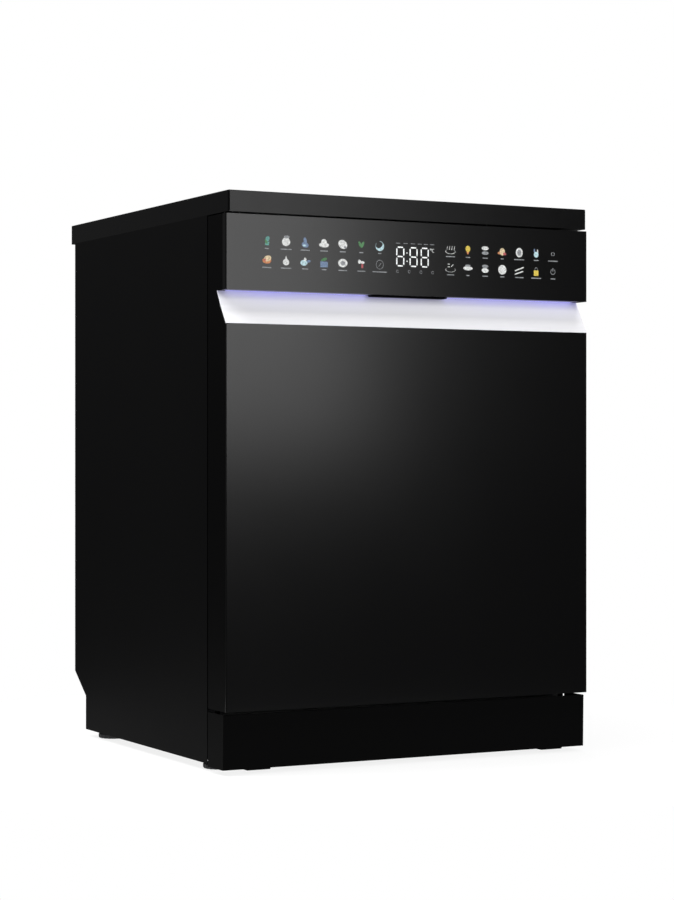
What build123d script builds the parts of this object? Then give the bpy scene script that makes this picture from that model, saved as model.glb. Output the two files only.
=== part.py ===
"""A 60 cm dishwasher with its own worktop. +Y is the back, +Z up, origin on the floor below the centre."""

import os

from build123d import *

os.makedirs("parts", exist_ok=True)

# Overall sizes
width = 598.0  # door and plinth, side to side
depth = 600.0  # worktop, front edge to back edge
height = 815.0  # floor to the worktop's top, feet screwed in

# Cabinet
worktop_thick = 30.0
worktop_inset = 3.0  # worktop side edge inside the door's side edge
edge_round = 1.5
sheet = 1.0  # side and rear panels
panel_inset = 2.0  # side panel outside face inside the door's side edge
panel_flange = 15.0
panel_foot = 11.0  # side panel's bottom above the floor
back_overhang = 20.0  # worktop past the side panels
notch_low = 64.0  # the notch for hoses at the rear bottom corner
notch_high = 100.0
notch_deep = 47.0

# Door
door_setback = 2.2  # door front behind the worktop's front edge
door_deep = 60.8
door_gap = 6.5  # door back to the cabinet
door_low = 89.5
door_top_gap = 2.5
glass = 4.0
fascia_high = 106.0
recess_high = 46.5
recess_deep = 29.0
recess_skin = 1.2  # white moulding over the casing's cut edge
casing_wall = 1.5
liner_sheet = 1.0
liner_bulge = 25.2
skirt_low = 66.0

# Plinth
plinth_low = 8.0
plinth_gap = 4.5  # door bottom to plinth top
plinth_setback = 8.8  # plinth front behind the door's front
plinth_lean = 1.2
plinth_return = 50.0
plinth_sheet = 1.5
pad_x = 243.0  # two pads under the plinth's front
pad_long = 36.0
pad_drop = 2.2

# Hinge, below and behind the door's bottom front edge
hinge_back = 20.8
hinge_drop = 25.5
pin_r = 3.0
pin_fit = 0.05
boss_r = 7.0
arm_thick = 4.0
arm_inset = 12.0  # arm's middle plane inside the door's side edge
bracket_thick = 2.5
bracket_space = 1.0

# Tub
tub_side_gap = 31.0  # tub side inside the door's side edge
tub_sheet = 1.0
tub_floor_z = 130.0  # ledges that the lower basket rolls on
basin_drop = 13.0
tub_top_gap = 22.0  # tub top below the worktop
tub_round = 28.0
tub_back_gap = 33.0  # tub back wall inside the rear panel
frame_front = 6.0  # tub front frame behind the side panels' front edge
ledge_wide = 46.0
gasket_wide = 11.0
gasket_clear = 0.6

# Baskets
wire = 4.0
basket_side_gap = 32.0  # basket side inside the tub side
basket_front_gap = 5.0  # basket front behind the closed liner's bulge
basket_back_gap = 38.8  # basket back in front of the tub back
lower_floor_z = 172.0
lower_wall = 126.0
upper_floor_drop = 365.0  # upper basket floor below the tub top
upper_wall = 132.0
tray_drop = 108.0  # cutlery tray below the tub top
tray_wall = 40.0
wheel_r = 18.0
wheel_wide = 9.0
wheel_first = 134.0  # front wheels behind the basket's front
wheel_span = 230.0
wheel_gap = 0.3  # wheels above the ledges
axle_r = 3.0
tine_high = 62.0
tine_pitch = 26.0
tine_count = 16
rail_high = 34.0
rail_thick = 3.0
clear = 0.5  # between pieces that slide past each other

# Spray arms and filter
arm_y = 6.0
lower_arm_r = 205.0
upper_arm_r = 190.0
ceiling_arm_r = 120.0
lower_arm_thick = 14.0
upper_arm_thick = 12.0
ceiling_arm_thick = 9.0
spigot_r = 13.0
spigot_pin_r = 7.0
spigot_pin_long = 11.0
hub_gap = 3.0
filter_x = 96.0
filter_y = -70.0
filter_r = 38.0
sump_r = 78.0

# Base
base_low = 16.0
base_wall = 3.0
foot_hole_r = 6.0
foot_fit = 0.4
foot_pad = 8.0
foot_pad_r = 24.0
foot_stud = 70.0
valve_x = 200.0
valve_rise = 42.0  # hose fittings above the base's underside
thread_r = 13.2
thread_long = 16.0
neck_wall = 3.0  # shoulder behind the thread, flush with the base's rear wall

# Derived places
front = -depth / 2
back = depth / 2
half = width / 2
worktop_low = height - worktop_thick
door_front = front + door_setback
door_back = door_front + door_deep
door_top = worktop_low - door_top_gap
fascia_low = door_top - fascia_high
recess_low = fascia_low - recess_high
panel_x = half - panel_inset
panel_front = door_back + door_gap
panel_back = back - back_overhang
plinth_top = door_low - plinth_gap
plinth_front = door_front + plinth_setback
hinge_y = door_front + hinge_back
hinge_z = door_low - hinge_drop
tub_front = panel_front + frame_front
tub_back = panel_back - tub_back_gap
tub_top = worktop_low - tub_top_gap
tub_half = half - tub_side_gap
basin_z = tub_floor_z - basin_drop
bulge_back = door_back + liner_bulge
basket_front = bulge_back + basket_front_gap
basket_back = tub_back - basket_back_gap
basket_long = basket_back - basket_front
basket_half = tub_half - basket_side_gap
upper_floor_z = tub_top - upper_floor_drop
tray_z = tub_top - tray_drop
base_top = basin_z - 30.0
lower_arm_z = basin_z + 33.0
upper_arm_z = upper_floor_z - 10.0 - hub_gap - upper_arm_thick
ceiling_arm_z = tub_top - 20.0 - hub_gap - ceiling_arm_thick


def save(name, *pieces):
    """Label finished pieces and write them as one node; each stays a solid of its own."""
    node = Compound([solid for piece in pieces for solid in piece.part.solids()], label=name)
    export_step(node, f"parts/{name}.step")


def slab(x, y, z, mode=Mode.ADD):
    """A box between three pairs of limits."""
    with Locations(((x[0] + x[1]) / 2, (y[0] + y[1]) / 2, (z[0] + z[1]) / 2)):
        Box(x[1] - x[0], y[1] - y[0], z[1] - z[0], mode=mode)


def rod(centre, radius, length, axis="Z", mode=Mode.ADD):
    """A cylinder about an axis, centred on a point."""
    turn = {"X": (0, 90, 0), "Y": (90, 0, 0), "Z": (0, 0, 0)}[axis]
    with Locations(centre):
        Cylinder(radius, length, rotation=turn, mode=mode)


def wire_panel(plane, wide, long, across, along):
    """A flat welded wire panel: a border and crossing wires."""
    pitch_x = (wide - wire) / across
    pitch_y = (long - wire) / along
    with BuildPart() as panel:
        with BuildSketch(plane):
            Rectangle(wide, long)
            with GridLocations(pitch_x, pitch_y, across, along):
                Rectangle(pitch_x - wire, pitch_y - wire, mode=Mode.SUBTRACT)
        extrude(amount=wire)
    return panel


def block(x, y, z):
    """A box that is a piece of its own."""
    with BuildPart() as piece:
        slab(x, y, z)
    return piece


def arch(grow):
    """The tub's section seen from the front, grown outwards by a distance."""
    low = base_top + 15.0
    with Locations((0, (low + tub_top + grow) / 2)):
        shape = Rectangle(2 * (tub_half + grow), tub_top + grow - low)
    top_corners = shape.vertices().group_by(Axis.Y)[-1]
    fillet(top_corners, tub_round + grow)


# ---------------------------------------------------------------- cabinet

with BuildPart() as worktop:
    with BuildSketch(Plane.XY.offset(worktop_low)):
        Rectangle(width - 2 * worktop_inset, depth)
    extrude(amount=worktop_thick)
    fillet(worktop.edges().filter_by(Axis.Z), 2 * edge_round)
    fillet(worktop.faces().sort_by(Axis.Z)[-1].edges(), edge_round)
save("worktop", worktop)

for side, side_name in ((-1, "left"), (1, "right")):
    outside = side * panel_x
    with BuildPart() as side_panel:
        with BuildSketch(Plane.YZ.offset(outside)):
            with BuildLine():
                Polyline(
                    (panel_front, panel_foot),
                    (panel_front, worktop_low),
                    (panel_back, worktop_low),
                    (panel_back, notch_high),
                    (panel_back - notch_deep, notch_low),
                    (panel_back - notch_deep, panel_foot),
                    close=True,
                )
            make_face()
        extrude(amount=-side * sheet)
        inner = sorted((outside - side * sheet, outside - side * panel_flange))
        slab(inner, (panel_front, panel_front + sheet), (base_top, worktop_low))
        slab(inner, (panel_back - sheet, panel_back), (notch_high, worktop_low))
        slab(inner, (panel_front + sheet, panel_back - sheet), (worktop_low - sheet, worktop_low))
    save(f"side_panel_{side_name}", side_panel)

with BuildPart() as rear_panel:
    rear_half = panel_x - sheet - clear
    rib_half = 0.75 * rear_half
    rear_top = worktop_low - 2 * sheet
    slab((-rear_half, rear_half), (panel_back - 2 * sheet, panel_back - sheet), (notch_high, rear_top))
    for level in (0.3, 0.5, 0.7):
        rib_z = notch_high + level * (worktop_low - notch_high)
        slab((-rib_half, rib_half), (panel_back - 6 * sheet, panel_back - 2 * sheet), (rib_z, rib_z + 20.0))
save("rear_panel", rear_panel)

base_half = panel_x - 3 * sheet
base_front = panel_front + 4.0
base_rear = panel_back - notch_deep - 2.0
valve_z = base_low + valve_rise
foot_x = base_half - 30.0
foot_front_y = base_front + 25.0
foot_rear_y = base_rear - 34.0
foot_places = {
    "front_left": (-foot_x, foot_front_y),
    "front_right": (foot_x, foot_front_y),
    "rear_left": (-foot_x, foot_rear_y),
    "rear_right": (foot_x, foot_rear_y),
}
tray_floor_top = base_low + base_wall
with BuildPart() as base_tray:
    slab((-base_half, base_half), (base_front, base_rear), (base_low, base_top))
    slab((-base_half + base_wall, base_half - base_wall), (base_front + base_wall, base_rear - base_wall),
         (tray_floor_top, base_top), mode=Mode.SUBTRACT)
    for foot_at in foot_places.values():
        rod((*foot_at, base_low + 12.0), 16.0, 24.0)
        rod((*foot_at, base_low + 12.0), foot_hole_r, 24.0, mode=Mode.SUBTRACT)
    for x in (-0.62 * base_half, 0.62 * base_half):
        slab((x - base_wall / 2, x + base_wall / 2), (base_front + 40.0, base_rear - 50.0),
             (tray_floor_top, tray_floor_top + 12.0))
    rod((valve_x, base_rear - base_wall / 2, valve_z), thread_r + neck_wall + clear, 4 * base_wall, axis="Y",
        mode=Mode.SUBTRACT)
save("base_tray", base_tray)

for foot_name, foot_at in foot_places.items():
    with BuildPart() as foot:
        rod((*foot_at, foot_pad / 2), foot_pad_r, foot_pad)
        rod((*foot_at, foot_pad + foot_stud / 2), foot_hole_r - foot_fit, foot_stud)
        fillet(foot.edges().filter_by(GeomType.CIRCLE).sort_by(Axis.Z)[0], 1.5)
    save(f"foot_{foot_name}", foot)

with BuildPart() as plinth:
    with BuildSketch(Plane.XY.offset(plinth_low)):
        with Locations((0, plinth_front + plinth_lean + plinth_return / 2)):
            Rectangle(width, plinth_return)
    with BuildSketch(Plane.XY.offset(plinth_top)):
        with Locations((0, plinth_front + (plinth_lean + plinth_return) / 2)):
            Rectangle(width, plinth_return + plinth_lean)
    loft()
    slab((-half + plinth_sheet, half - plinth_sheet),
         (plinth_front + plinth_lean + plinth_sheet, plinth_front + plinth_return + 10.0),
         (plinth_low - 1.0, plinth_top + 1.0), mode=Mode.SUBTRACT)
    pad_deep = (plinth_front + plinth_lean + 1.0, plinth_front + plinth_return / 2)
    for x in (-pad_x, pad_x):
        slab((x - pad_long / 2, x + pad_long / 2), pad_deep, (plinth_low - pad_drop, plinth_low + 3.0))
save("plinth", plinth)

crossbar_half = half - 24.0
crossbar_low = hinge_z - 26.0
crossbar_top = hinge_z + 15.0
with BuildPart() as crossbar:
    across = (-crossbar_half, crossbar_half)
    slab(across, (hinge_y - 7.0, base_front), (crossbar_low, crossbar_top))
    slab(across, (hinge_y - 5.0, base_front - 2.0), (crossbar_low - 1.0, crossbar_top - 2.0),
         mode=Mode.SUBTRACT)
    slab(across, (hinge_y + 29.0, base_front + 1.0), (hinge_z - 4.0, crossbar_top + 1.0), mode=Mode.SUBTRACT)
save("front_crossbar", crossbar)

# ---------------------------------------------------------------- hinges

arm_x = half - arm_inset
bracket_x = arm_x - arm_thick / 2 - bracket_space
with BuildPart() as hinge_brackets:
    for side in (-1, 1):
        plate = sorted((side * bracket_x, side * (bracket_x - bracket_thick)))
        slab(plate, (hinge_y, base_front), (hinge_z - 9.0, hinge_z + 8.0))
        rod((side * (bracket_x - bracket_thick / 2), hinge_y, hinge_z), 8.5, bracket_thick, axis="X")
        pin_end = arm_x + arm_thick / 2 + 2.0
        rod((side * (bracket_x + pin_end) / 2, hinge_y, hinge_z), pin_r, pin_end - bracket_x, axis="X")
save("hinge_brackets", hinge_brackets)

limb_back = door_back - liner_sheet - 1.0 - hinge_y
limb_front = limb_back - 9.0
arm_top = door_low + 150.0
with BuildPart() as hinge_arms:
    for side in (-1, 1):
        plate = sorted((side * (arm_x - arm_thick / 2), side * (arm_x + arm_thick / 2)))
        rod((side * arm_x, hinge_y, hinge_z), boss_r, arm_thick, axis="X")
        slab(plate, (hinge_y, hinge_y + limb_back), (hinge_z - boss_r, hinge_z + boss_r))
        slab(plate, (hinge_y + limb_front, hinge_y + limb_back), (hinge_z, arm_top))
        rod((side * arm_x, hinge_y, hinge_z), pin_r + pin_fit, 2 * arm_thick, axis="X", mode=Mode.SUBTRACT)
save("hinge_arms", hinge_arms)

spring_r = 9.0
with BuildPart() as door_springs:
    for side in (-1, 1):
        spring_x = side * (base_half - base_wall - spring_r - 3.0)
        rod((spring_x, -20.0, base_top - 16.0), spring_r, 170.0, axis="Y")
        rod((spring_x, -20.0, base_top - 16.0), spring_r - 3.0, 172.0, axis="Y", mode=Mode.SUBTRACT)
save("door_springs", door_springs)

# ---------------------------------------------------------------- tub

with BuildPart() as tub_wrapper:
    with BuildSketch(Plane.XZ.offset(-tub_back)):
        arch(tub_sheet)
        with BuildSketch(Plane.XZ.offset(-tub_back), mode=Mode.SUBTRACT):
            arch(0.0)
        with Locations((0, basin_z)):
            Rectangle(2 * tub_half, 60.0, mode=Mode.SUBTRACT)
    extrude(amount=tub_back - tub_front)
save("tub_wrapper", tub_wrapper)

with BuildPart() as tub_rear:
    with BuildSketch(Plane.XZ.offset(-tub_back - tub_sheet)):
        arch(tub_sheet)
    extrude(amount=tub_sheet)
save("tub_back", tub_rear)

ledge_x = tub_half - ledge_wide
with BuildPart() as tub_floor:
    for side in (-1, 1):
        ledge = sorted((side * ledge_x, side * tub_half))
        step = sorted((side * (ledge_x - tub_sheet), side * ledge_x))
        slab(ledge, (tub_front, tub_back), (tub_floor_z - tub_sheet, tub_floor_z))
        slab(step, (tub_front, tub_back), (basin_z, tub_floor_z))
    slab((-ledge_x, ledge_x), (tub_front, tub_back), (basin_z - tub_sheet, basin_z))
    slab((-ledge_x, ledge_x), (tub_front, tub_front + tub_sheet), (basin_z, tub_floor_z))
    rod((filter_x, filter_y, basin_z), sump_r - 6.0, 10.0, mode=Mode.SUBTRACT)
    rod((0, arm_y, basin_z), spigot_r + clear, 10.0, mode=Mode.SUBTRACT)
save("tub_floor", tub_floor)

frame_out = panel_x - sheet - 0.5
with BuildPart() as tub_frame:
    with BuildSketch(Plane.XZ.offset(-tub_front)):
        low = base_top + 15.0
        with Locations((0, (low + worktop_low - 2 * sheet) / 2)):
            Rectangle(2 * frame_out, worktop_low - 2 * sheet - low)
        with BuildSketch(Plane.XZ.offset(-tub_front), mode=Mode.SUBTRACT):
            arch(0.0)
            with Locations((0, base_top)):
                Rectangle(2 * tub_half, 2 * (tub_floor_z - base_top) - 2 * tub_sheet)
    extrude(amount=tub_sheet)
save("tub_frame", tub_frame)

gasket_deep = tub_front - tub_sheet - door_back - gasket_clear
with BuildPart() as door_gasket:
    with BuildSketch(Plane.XZ.offset(-tub_front + tub_sheet)):
        arch(gasket_wide)
        with BuildSketch(Plane.XZ.offset(-tub_front + tub_sheet), mode=Mode.SUBTRACT):
            arch(1.0)
        with Locations((0, base_top)):
            Rectangle(width, 2 * (tub_floor_z - base_top), mode=Mode.SUBTRACT)
    extrude(amount=gasket_deep)
save("door_gasket", door_gasket)

# ---------------------------------------------------------------- water and electrics in the base

sump_low = base_low + 12.0
with BuildPart() as sump:
    sump_top = basin_z - tub_sheet
    rod((filter_x, filter_y, (sump_low + sump_top) / 2), sump_r, sump_top - sump_low)
    slab((-24.0, filter_x), (arm_y - 22.0, arm_y + 22.0), (basin_z - 27.0, sump_top))
    rod((filter_x, filter_y, (sump_low + basin_z) / 2 + 3.0), sump_r - 3.0, basin_z - sump_low,
        mode=Mode.SUBTRACT)
    rod((0, arm_y, basin_z + 10.0), spigot_r, 40.0)
    rod((0, arm_y, lower_arm_z - hub_gap + 4.0), spigot_pin_r, 8.0)
save("sump", sump)

with BuildPart() as coarse_filter:
    rod((filter_x, filter_y, basin_z - 3.0), sump_r - 7.0, 3.0)
    rod((filter_x, filter_y, basin_z - 3.0), filter_r + 0.5, 4.0, mode=Mode.SUBTRACT)
    with BuildSketch(Plane.XY.offset(basin_z - 5.0)):
        with Locations((filter_x, filter_y)):
            with PolarLocations((sump_r - 7.0 + filter_r) / 2, 24):
                RectangleRounded(15.0, 3.0, 1.4)
    extrude(amount=4.0, mode=Mode.SUBTRACT)
save("coarse_filter", coarse_filter)

with BuildPart() as micro_filter:
    rod((filter_x, filter_y, basin_z - 25.0), filter_r, 54.0)
    rod((filter_x, filter_y, basin_z - 22.0), filter_r - 3.0, 56.0, mode=Mode.SUBTRACT)
    slab((filter_x - filter_r + 1.0, filter_x + filter_r - 1.0), (filter_y - 4.0, filter_y + 4.0),
         (basin_z - 6.0, basin_z + 16.0))
save("micro_filter", micro_filter)

pump_y = 60.0
pump_z = base_low + 48.0
with BuildPart() as wash_pump:
    rod((-70.0, pump_y, pump_z), 42.0, 60.0, axis="X")
    rod((-135.0, pump_y, pump_z), 34.0, 70.0, axis="X")
    rod((-30.0, pump_y, pump_z), 16.0, 20.0, axis="X")
save("wash_pump", wash_pump)

with BuildPart() as drain_pump:
    rod((filter_x, filter_y - sump_r - 22.0, sump_low + 27.0), 22.0, 44.0, axis="Y")
save("drain_pump", drain_pump)

with BuildPart() as inlet_valve:
    valve_back = base_rear - base_wall - 1.0
    slab((valve_x - 22.0, valve_x + 22.0), (valve_back - 48.0, valve_back), (valve_z - 20.0, valve_z + 24.0))
    neck_mid = (valve_x, (valve_back + base_rear) / 2, valve_z)
    thread_mid = (valve_x, base_rear + thread_long / 2, valve_z)
    rod(neck_mid, thread_r + neck_wall, base_rear - valve_back, axis="Y")
    rod(thread_mid, thread_r, thread_long, axis="Y")
    rod(thread_mid, 8.0, thread_long + 2.0, axis="Y", mode=Mode.SUBTRACT)
save("inlet_valve", inlet_valve)

outlet_x = 130.0
outlet_r = 9.5
outlet_long = 28.0
outlet_flange = 4.0
with BuildPart() as drain_spigot:
    outlet_whole = outlet_flange + outlet_long
    rod((outlet_x, base_rear + outlet_flange / 2, valve_z), outlet_r + 6.5, outlet_flange, axis="Y")
    rod((outlet_x, base_rear + outlet_whole / 2, valve_z), outlet_r, outlet_whole, axis="Y")
    rod((outlet_x, base_rear + outlet_whole / 2, valve_z), outlet_r - 2.5, 2 * outlet_whole, axis="Y",
        mode=Mode.SUBTRACT)
save("drain_spigot", drain_spigot)

gland_x = -200.0
gland_bore = 4.0
gland_long = 14.0
with BuildPart() as mains_gland:
    slab((gland_x - 24.0, gland_x + 24.0), (base_rear, base_rear + 6.0), (valve_z - 20.0, valve_z + 20.0))
    gland_mid = (gland_x, base_rear + gland_long / 2, valve_z)
    rod(gland_mid, 8.0, gland_long, axis="Y")
    rod(gland_mid, gland_bore, gland_long + 2.0, axis="Y", mode=Mode.SUBTRACT)
save("mains_gland", mains_gland)

cap_x = -150.0
cap_y = -110.0
cap_r = 32.0
with BuildPart() as water_softener:
    slab((cap_x - 75.0, cap_x + 55.0), (cap_y - 60.0, cap_y + 80.0), (tray_floor_top + 14.0, basin_z - 22.0))
    rod((cap_x, cap_y, basin_z - 12.0), cap_r - 6.0, 20.0)
save("water_softener", water_softener)

with BuildPart() as salt_cap:
    rod((cap_x, cap_y, basin_z + 5.0), cap_r, 9.4)
    slab((cap_x - cap_r + 6.0, cap_x + cap_r - 6.0), (cap_y - 4.0, cap_y + 4.0),
         (basin_z + 9.0, basin_z + 19.0))
    fillet(salt_cap.faces().sort_by(Axis.Z)[-1].edges(), 1.5)
save("salt_cap", salt_cap)

with BuildPart() as control_module:
    slab((-260.0, -180.0), (-20.0, 120.0), (tray_floor_top + 14.0, base_top - 2.0))
save("control_module", control_module)

duct_wide = 40.0
duct_deep = 12.0
with BuildPart() as feed_tube:
    slab((-duct_wide / 2, duct_wide / 2), (tub_back - duct_deep, tub_back), (basin_z, tub_top - 3.0))
    slab((-12.0, 12.0), (arm_y + 14.0, tub_back), (basin_z, basin_z + 10.0))
    rod((0, (arm_y + tub_back) / 2, tub_top - 9.0), 6.0, tub_back - arm_y, axis="Y")
    rod((0, arm_y, tub_top - 10.0), 11.0, 20.0)
    rod((0, arm_y, tub_top - 20.0 - 4.0), spigot_pin_r, 8.0)
save("feed_tube", feed_tube)


def spray_arm(name, reach, low, thick, wide, bore_z):
    """A flat two-bladed arm with a hub that turns on a spigot, and jet slots along each blade."""
    with BuildPart() as arm:
        with BuildSketch(Plane.XY.offset(low)):
            with Locations((0, arm_y)):
                SlotOverall(2 * reach, wide)
                Circle(0.75 * wide)
        extrude(amount=thick)
        fillet(arm.faces().sort_by(Axis.Z)[-1].edges(), 0.3 * thick)
        for side in (-1, 1):
            for share in (0.35, 0.6, 0.85):
                slab((side * share * reach - 6.0, side * share * reach + 6.0), (arm_y - 1.5, arm_y + 1.5),
                     (low + thick / 2, low + thick + 1.0), mode=Mode.SUBTRACT)
        rod((0, arm_y, bore_z), spigot_pin_r + pin_fit, spigot_pin_long, mode=Mode.SUBTRACT)
    save(name, arm)


spray_arm("lower_spray_arm", lower_arm_r, lower_arm_z, lower_arm_thick, 44.0, lower_arm_z)
spray_arm("upper_spray_arm", upper_arm_r, upper_arm_z, upper_arm_thick, 36.0, upper_arm_z + upper_arm_thick)
spray_arm("ceiling_spray_arm", ceiling_arm_r, ceiling_arm_z, ceiling_arm_thick, 26.0,
          ceiling_arm_z + ceiling_arm_thick)

# ---------------------------------------------------------------- door

with BuildPart() as door_glass:
    with BuildSketch(Plane.XZ.offset(-door_front)):
        with Locations((0, (door_low + recess_low) / 2)):
            Rectangle(width, recess_low - door_low)
    extrude(amount=-glass)
    fillet(door_glass.edges().filter_by(Axis.Z), edge_round)
save("door_glass", door_glass)

fascia_deep = 11.0
recess_floor = door_front + recess_deep
light_deep = 9.0
grip_half = 62.0
grip_drop = 2.2
grip_gap = 4.5
with BuildPart() as fascia:
    with BuildSketch(Plane.XZ.offset(-door_front)):
        with Locations((0, (fascia_low + door_top) / 2)):
            Rectangle(width, fascia_high)
    extrude(amount=-fascia_deep)
    fillet(fascia.edges().filter_by(Axis.Z).group_by(Axis.Y)[0], edge_round)
    slab((-half + 4.0, half - 4.0), (door_front + 3.0, door_front + fascia_deep + 1.0),
         (fascia_low + 3.0, door_top - 3.0), mode=Mode.SUBTRACT)
    slab((-half + casing_wall, half - casing_wall),
         (door_front + fascia_deep, recess_floor - light_deep - 1.0), (fascia_low, fascia_low + 2.5))
    slab((-grip_half - 0.3, grip_half + 0.3), (door_front + fascia_deep, recess_floor),
         (fascia_low - 1.0, fascia_low + 2.5), mode=Mode.SUBTRACT)
save("control_fascia", fascia)

with BuildPart() as display_board:
    slab((-half + 30.0, half - 30.0), (door_front + 3.5, door_front + 7.0),
         (fascia_low + 14.0, door_top - 14.0))
save("display_board", display_board)

recess_slope = (
    (door_front, recess_low),
    (door_front + 0.6 * recess_deep, recess_low + 0.55 * recess_high),
    (recess_floor, fascia_low),
)
recess_back = ((recess_floor + 3.0, fascia_low), (recess_floor + 3.0, recess_low))
casing_slope = tuple((y + recess_skin, z) for y, z in recess_slope)
with BuildPart() as handle_recess:
    with BuildSketch(Plane.YZ.offset(-half + casing_wall)):
        with BuildLine():
            Polyline(*recess_slope, *recess_back, close=True)
        make_face()
    extrude(amount=width - 2 * casing_wall)
    with BuildSketch(Plane.YZ.offset(-half)):
        with BuildLine():
            Polyline(*recess_slope, *reversed(casing_slope), close=True)
        make_face()
    extrude(amount=width)
save("handle_recess", handle_recess)

light_ends = half - 12.0
with BuildPart() as light_bars:
    for side in (-1, 1):
        ends = sorted((side * (grip_half + 3.0), side * light_ends))
        slab(ends, (recess_floor - light_deep - 1.0, recess_floor - 1.0), (fascia_low, fascia_low + 5.0))
save("light_bars", light_bars)

with BuildPart() as centre_grip:
    slab((-grip_half, grip_half), (door_front + fascia_deep, recess_floor - grip_gap),
         (fascia_low - grip_drop, fascia_low + 8.0))
    fillet(centre_grip.edges().filter_by(Axis.Y).group_by(Axis.Z)[0], 2.0)
save("centre_grip", centre_grip)

casing_back = door_back - liner_sheet
with BuildPart() as door_casing:
    for side in (-1, 1):
        wall = sorted((side * half, side * (half - casing_wall)))
        slab(wall, (door_front + glass, casing_back), (door_low, recess_low))
        with BuildSketch(Plane.YZ.offset(wall[0])):
            with BuildLine():
                Polyline(*casing_slope, (casing_back, fascia_low), (casing_back, recess_low), close=True)
            make_face()
        extrude(amount=casing_wall)
        slab(wall, (door_front + fascia_deep, casing_back), (fascia_low, door_top))
    inside = (-half + casing_wall, half - casing_wall)
    slab(inside, (door_front + glass, casing_back), (door_low, door_low + casing_wall))
    slab(inside, (door_front + fascia_deep, casing_back), (door_top - casing_wall, door_top))
    for side in (-1, 1):
        gate = sorted((side * (arm_x - arm_thick / 2 - 1.0), side * (arm_x + arm_thick / 2 + 1.0)))
        slab(gate, (hinge_y + limb_front - 2.0, casing_back + 1.0), (door_low - 1.0, door_low + 5.0),
             mode=Mode.SUBTRACT)
    slab(inside, (recess_floor + 3.0, recess_floor + 4.5), (recess_low, door_top - casing_wall))
save("door_casing", door_casing)

with BuildPart() as door_insulation:
    slab((-half + 22.0, half - 22.0), (door_front + glass + 1.0, door_back - 12.0),
         (door_low + 8.0, recess_low - 8.0))
save("door_insulation", door_insulation)

liner_half = half - casing_wall - 0.5
bulge_half = tub_half - 18.0
skirt_half = arm_x - arm_thick / 2 - 10.0
bulge_low = tub_floor_z + 12.0
bulge_high = tub_top - 16.0
lock_half = 34.0
dispenser_x = (-108.0, 84.0)
dispenser_z = (330.0, 500.0)
with BuildPart() as door_liner:
    slab((-liner_half, liner_half), (casing_back, door_back), (door_low, door_top))
    slab((-skirt_half, skirt_half), (casing_back, door_back), (skirt_low, door_low))
    with BuildSketch(Plane.XZ.offset(-door_back)):
        with Locations((0, (bulge_low + bulge_high) / 2)):
            RectangleRounded(2 * bulge_half, bulge_high - bulge_low, tub_round)
    extrude(amount=-liner_bulge, taper=12)
    with BuildSketch(Plane.XZ.offset(-casing_back)):
        with Locations((0, (bulge_low + bulge_high) / 2)):
            RectangleRounded(2 * bulge_half - 3.0, bulge_high - bulge_low - 3.0, tub_round)
    extrude(amount=-liner_bulge, taper=12, mode=Mode.SUBTRACT)
    slab(dispenser_x, (door_back - 10.0, bulge_back + 5.0), dispenser_z, mode=Mode.SUBTRACT)
    slab((-lock_half, lock_half), (casing_back - 1.0, bulge_back), (bulge_high + 2.0, door_top + 1.0),
         mode=Mode.SUBTRACT)
save("door_liner", door_liner)

lid_x = (-96.0, -16.0)
lid_z = (346.0, 426.0)
rinse_x = -56.0
rinse_z = 462.0
rinse_r = 20.0
with BuildPart() as dispenser:
    inner_x = (dispenser_x[0] + clear, dispenser_x[1] - clear)
    inner_z = (dispenser_z[0] + clear, dispenser_z[1] - clear)
    slab(inner_x, (door_back - 9.0, bulge_back - 3.0), inner_z)
    slab((lid_x[0] + 8.0, lid_x[1] - 8.0), (bulge_back - 24.0, bulge_back), (lid_z[0] + 8.0, lid_z[1] - 8.0),
         mode=Mode.SUBTRACT)
    rod((rinse_x, bulge_back - 8.0, rinse_z), rinse_r - 6.0, 30.0, axis="Y", mode=Mode.SUBTRACT)
save("dispenser", dispenser)

with BuildPart() as dispenser_lid:
    slab(lid_x, (bulge_back - 2.6, bulge_back + 0.4), lid_z)
    fillet(dispenser_lid.edges().filter_by(Axis.Y), 8.0)
    slab((lid_x[1] - 30.0, lid_x[1] - 22.0), (bulge_back, bulge_back + 2.4),
         (lid_z[0] + 25.0, lid_z[1] - 25.0))
save("dispenser_lid", dispenser_lid)

with BuildPart() as rinse_cap:
    rod((rinse_x, bulge_back - 1.2, rinse_z), rinse_r, 3.0, axis="Y")
    slab((rinse_x - 3.0, rinse_x + 3.0), (bulge_back, bulge_back + 3.0), (rinse_z - 14.0, rinse_z + 14.0))
save("rinse_cap", rinse_cap)

with BuildPart() as door_lock:
    slab((-lock_half + 1.0, lock_half - 1.0), (door_back - 20.0, door_back - 0.5),
         (bulge_high + 3.0, door_top - 2.0))
save("door_lock", door_lock)

with BuildPart() as lower_seal:
    seal_half = bulge_half - 4.0
    slab((-seal_half, seal_half), (door_back, door_back + 5.0), (tub_floor_z + 3.0, tub_floor_z + 11.0))
save("lower_seal", lower_seal)

# ---------------------------------------------------------------- baskets


def basket(floor_z, wall_high, half_wide):
    """A wire floor with four wire walls standing on it."""
    middle = (basket_front + basket_back) / 2
    centre_z = floor_z + wire + wall_high / 2
    panels = [wire_panel(Plane((0, middle, floor_z)), 2 * half_wide, basket_long, 14, 11)]
    for y in (basket_front, basket_back - wire):
        wall_plane = Plane((0, y + wire, centre_z), x_dir=(1, 0, 0), z_dir=(0, -1, 0))
        panels.append(wire_panel(wall_plane, 2 * half_wide, wall_high, 14, 3))
    for x in (-half_wide, half_wide - wire):
        wall_plane = Plane((x, middle, centre_z), x_dir=(0, 1, 0), z_dir=(1, 0, 0))
        panels.append(wire_panel(wall_plane, basket_long - 2 * wire, wall_high, 11, 3))
    return panels


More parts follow.
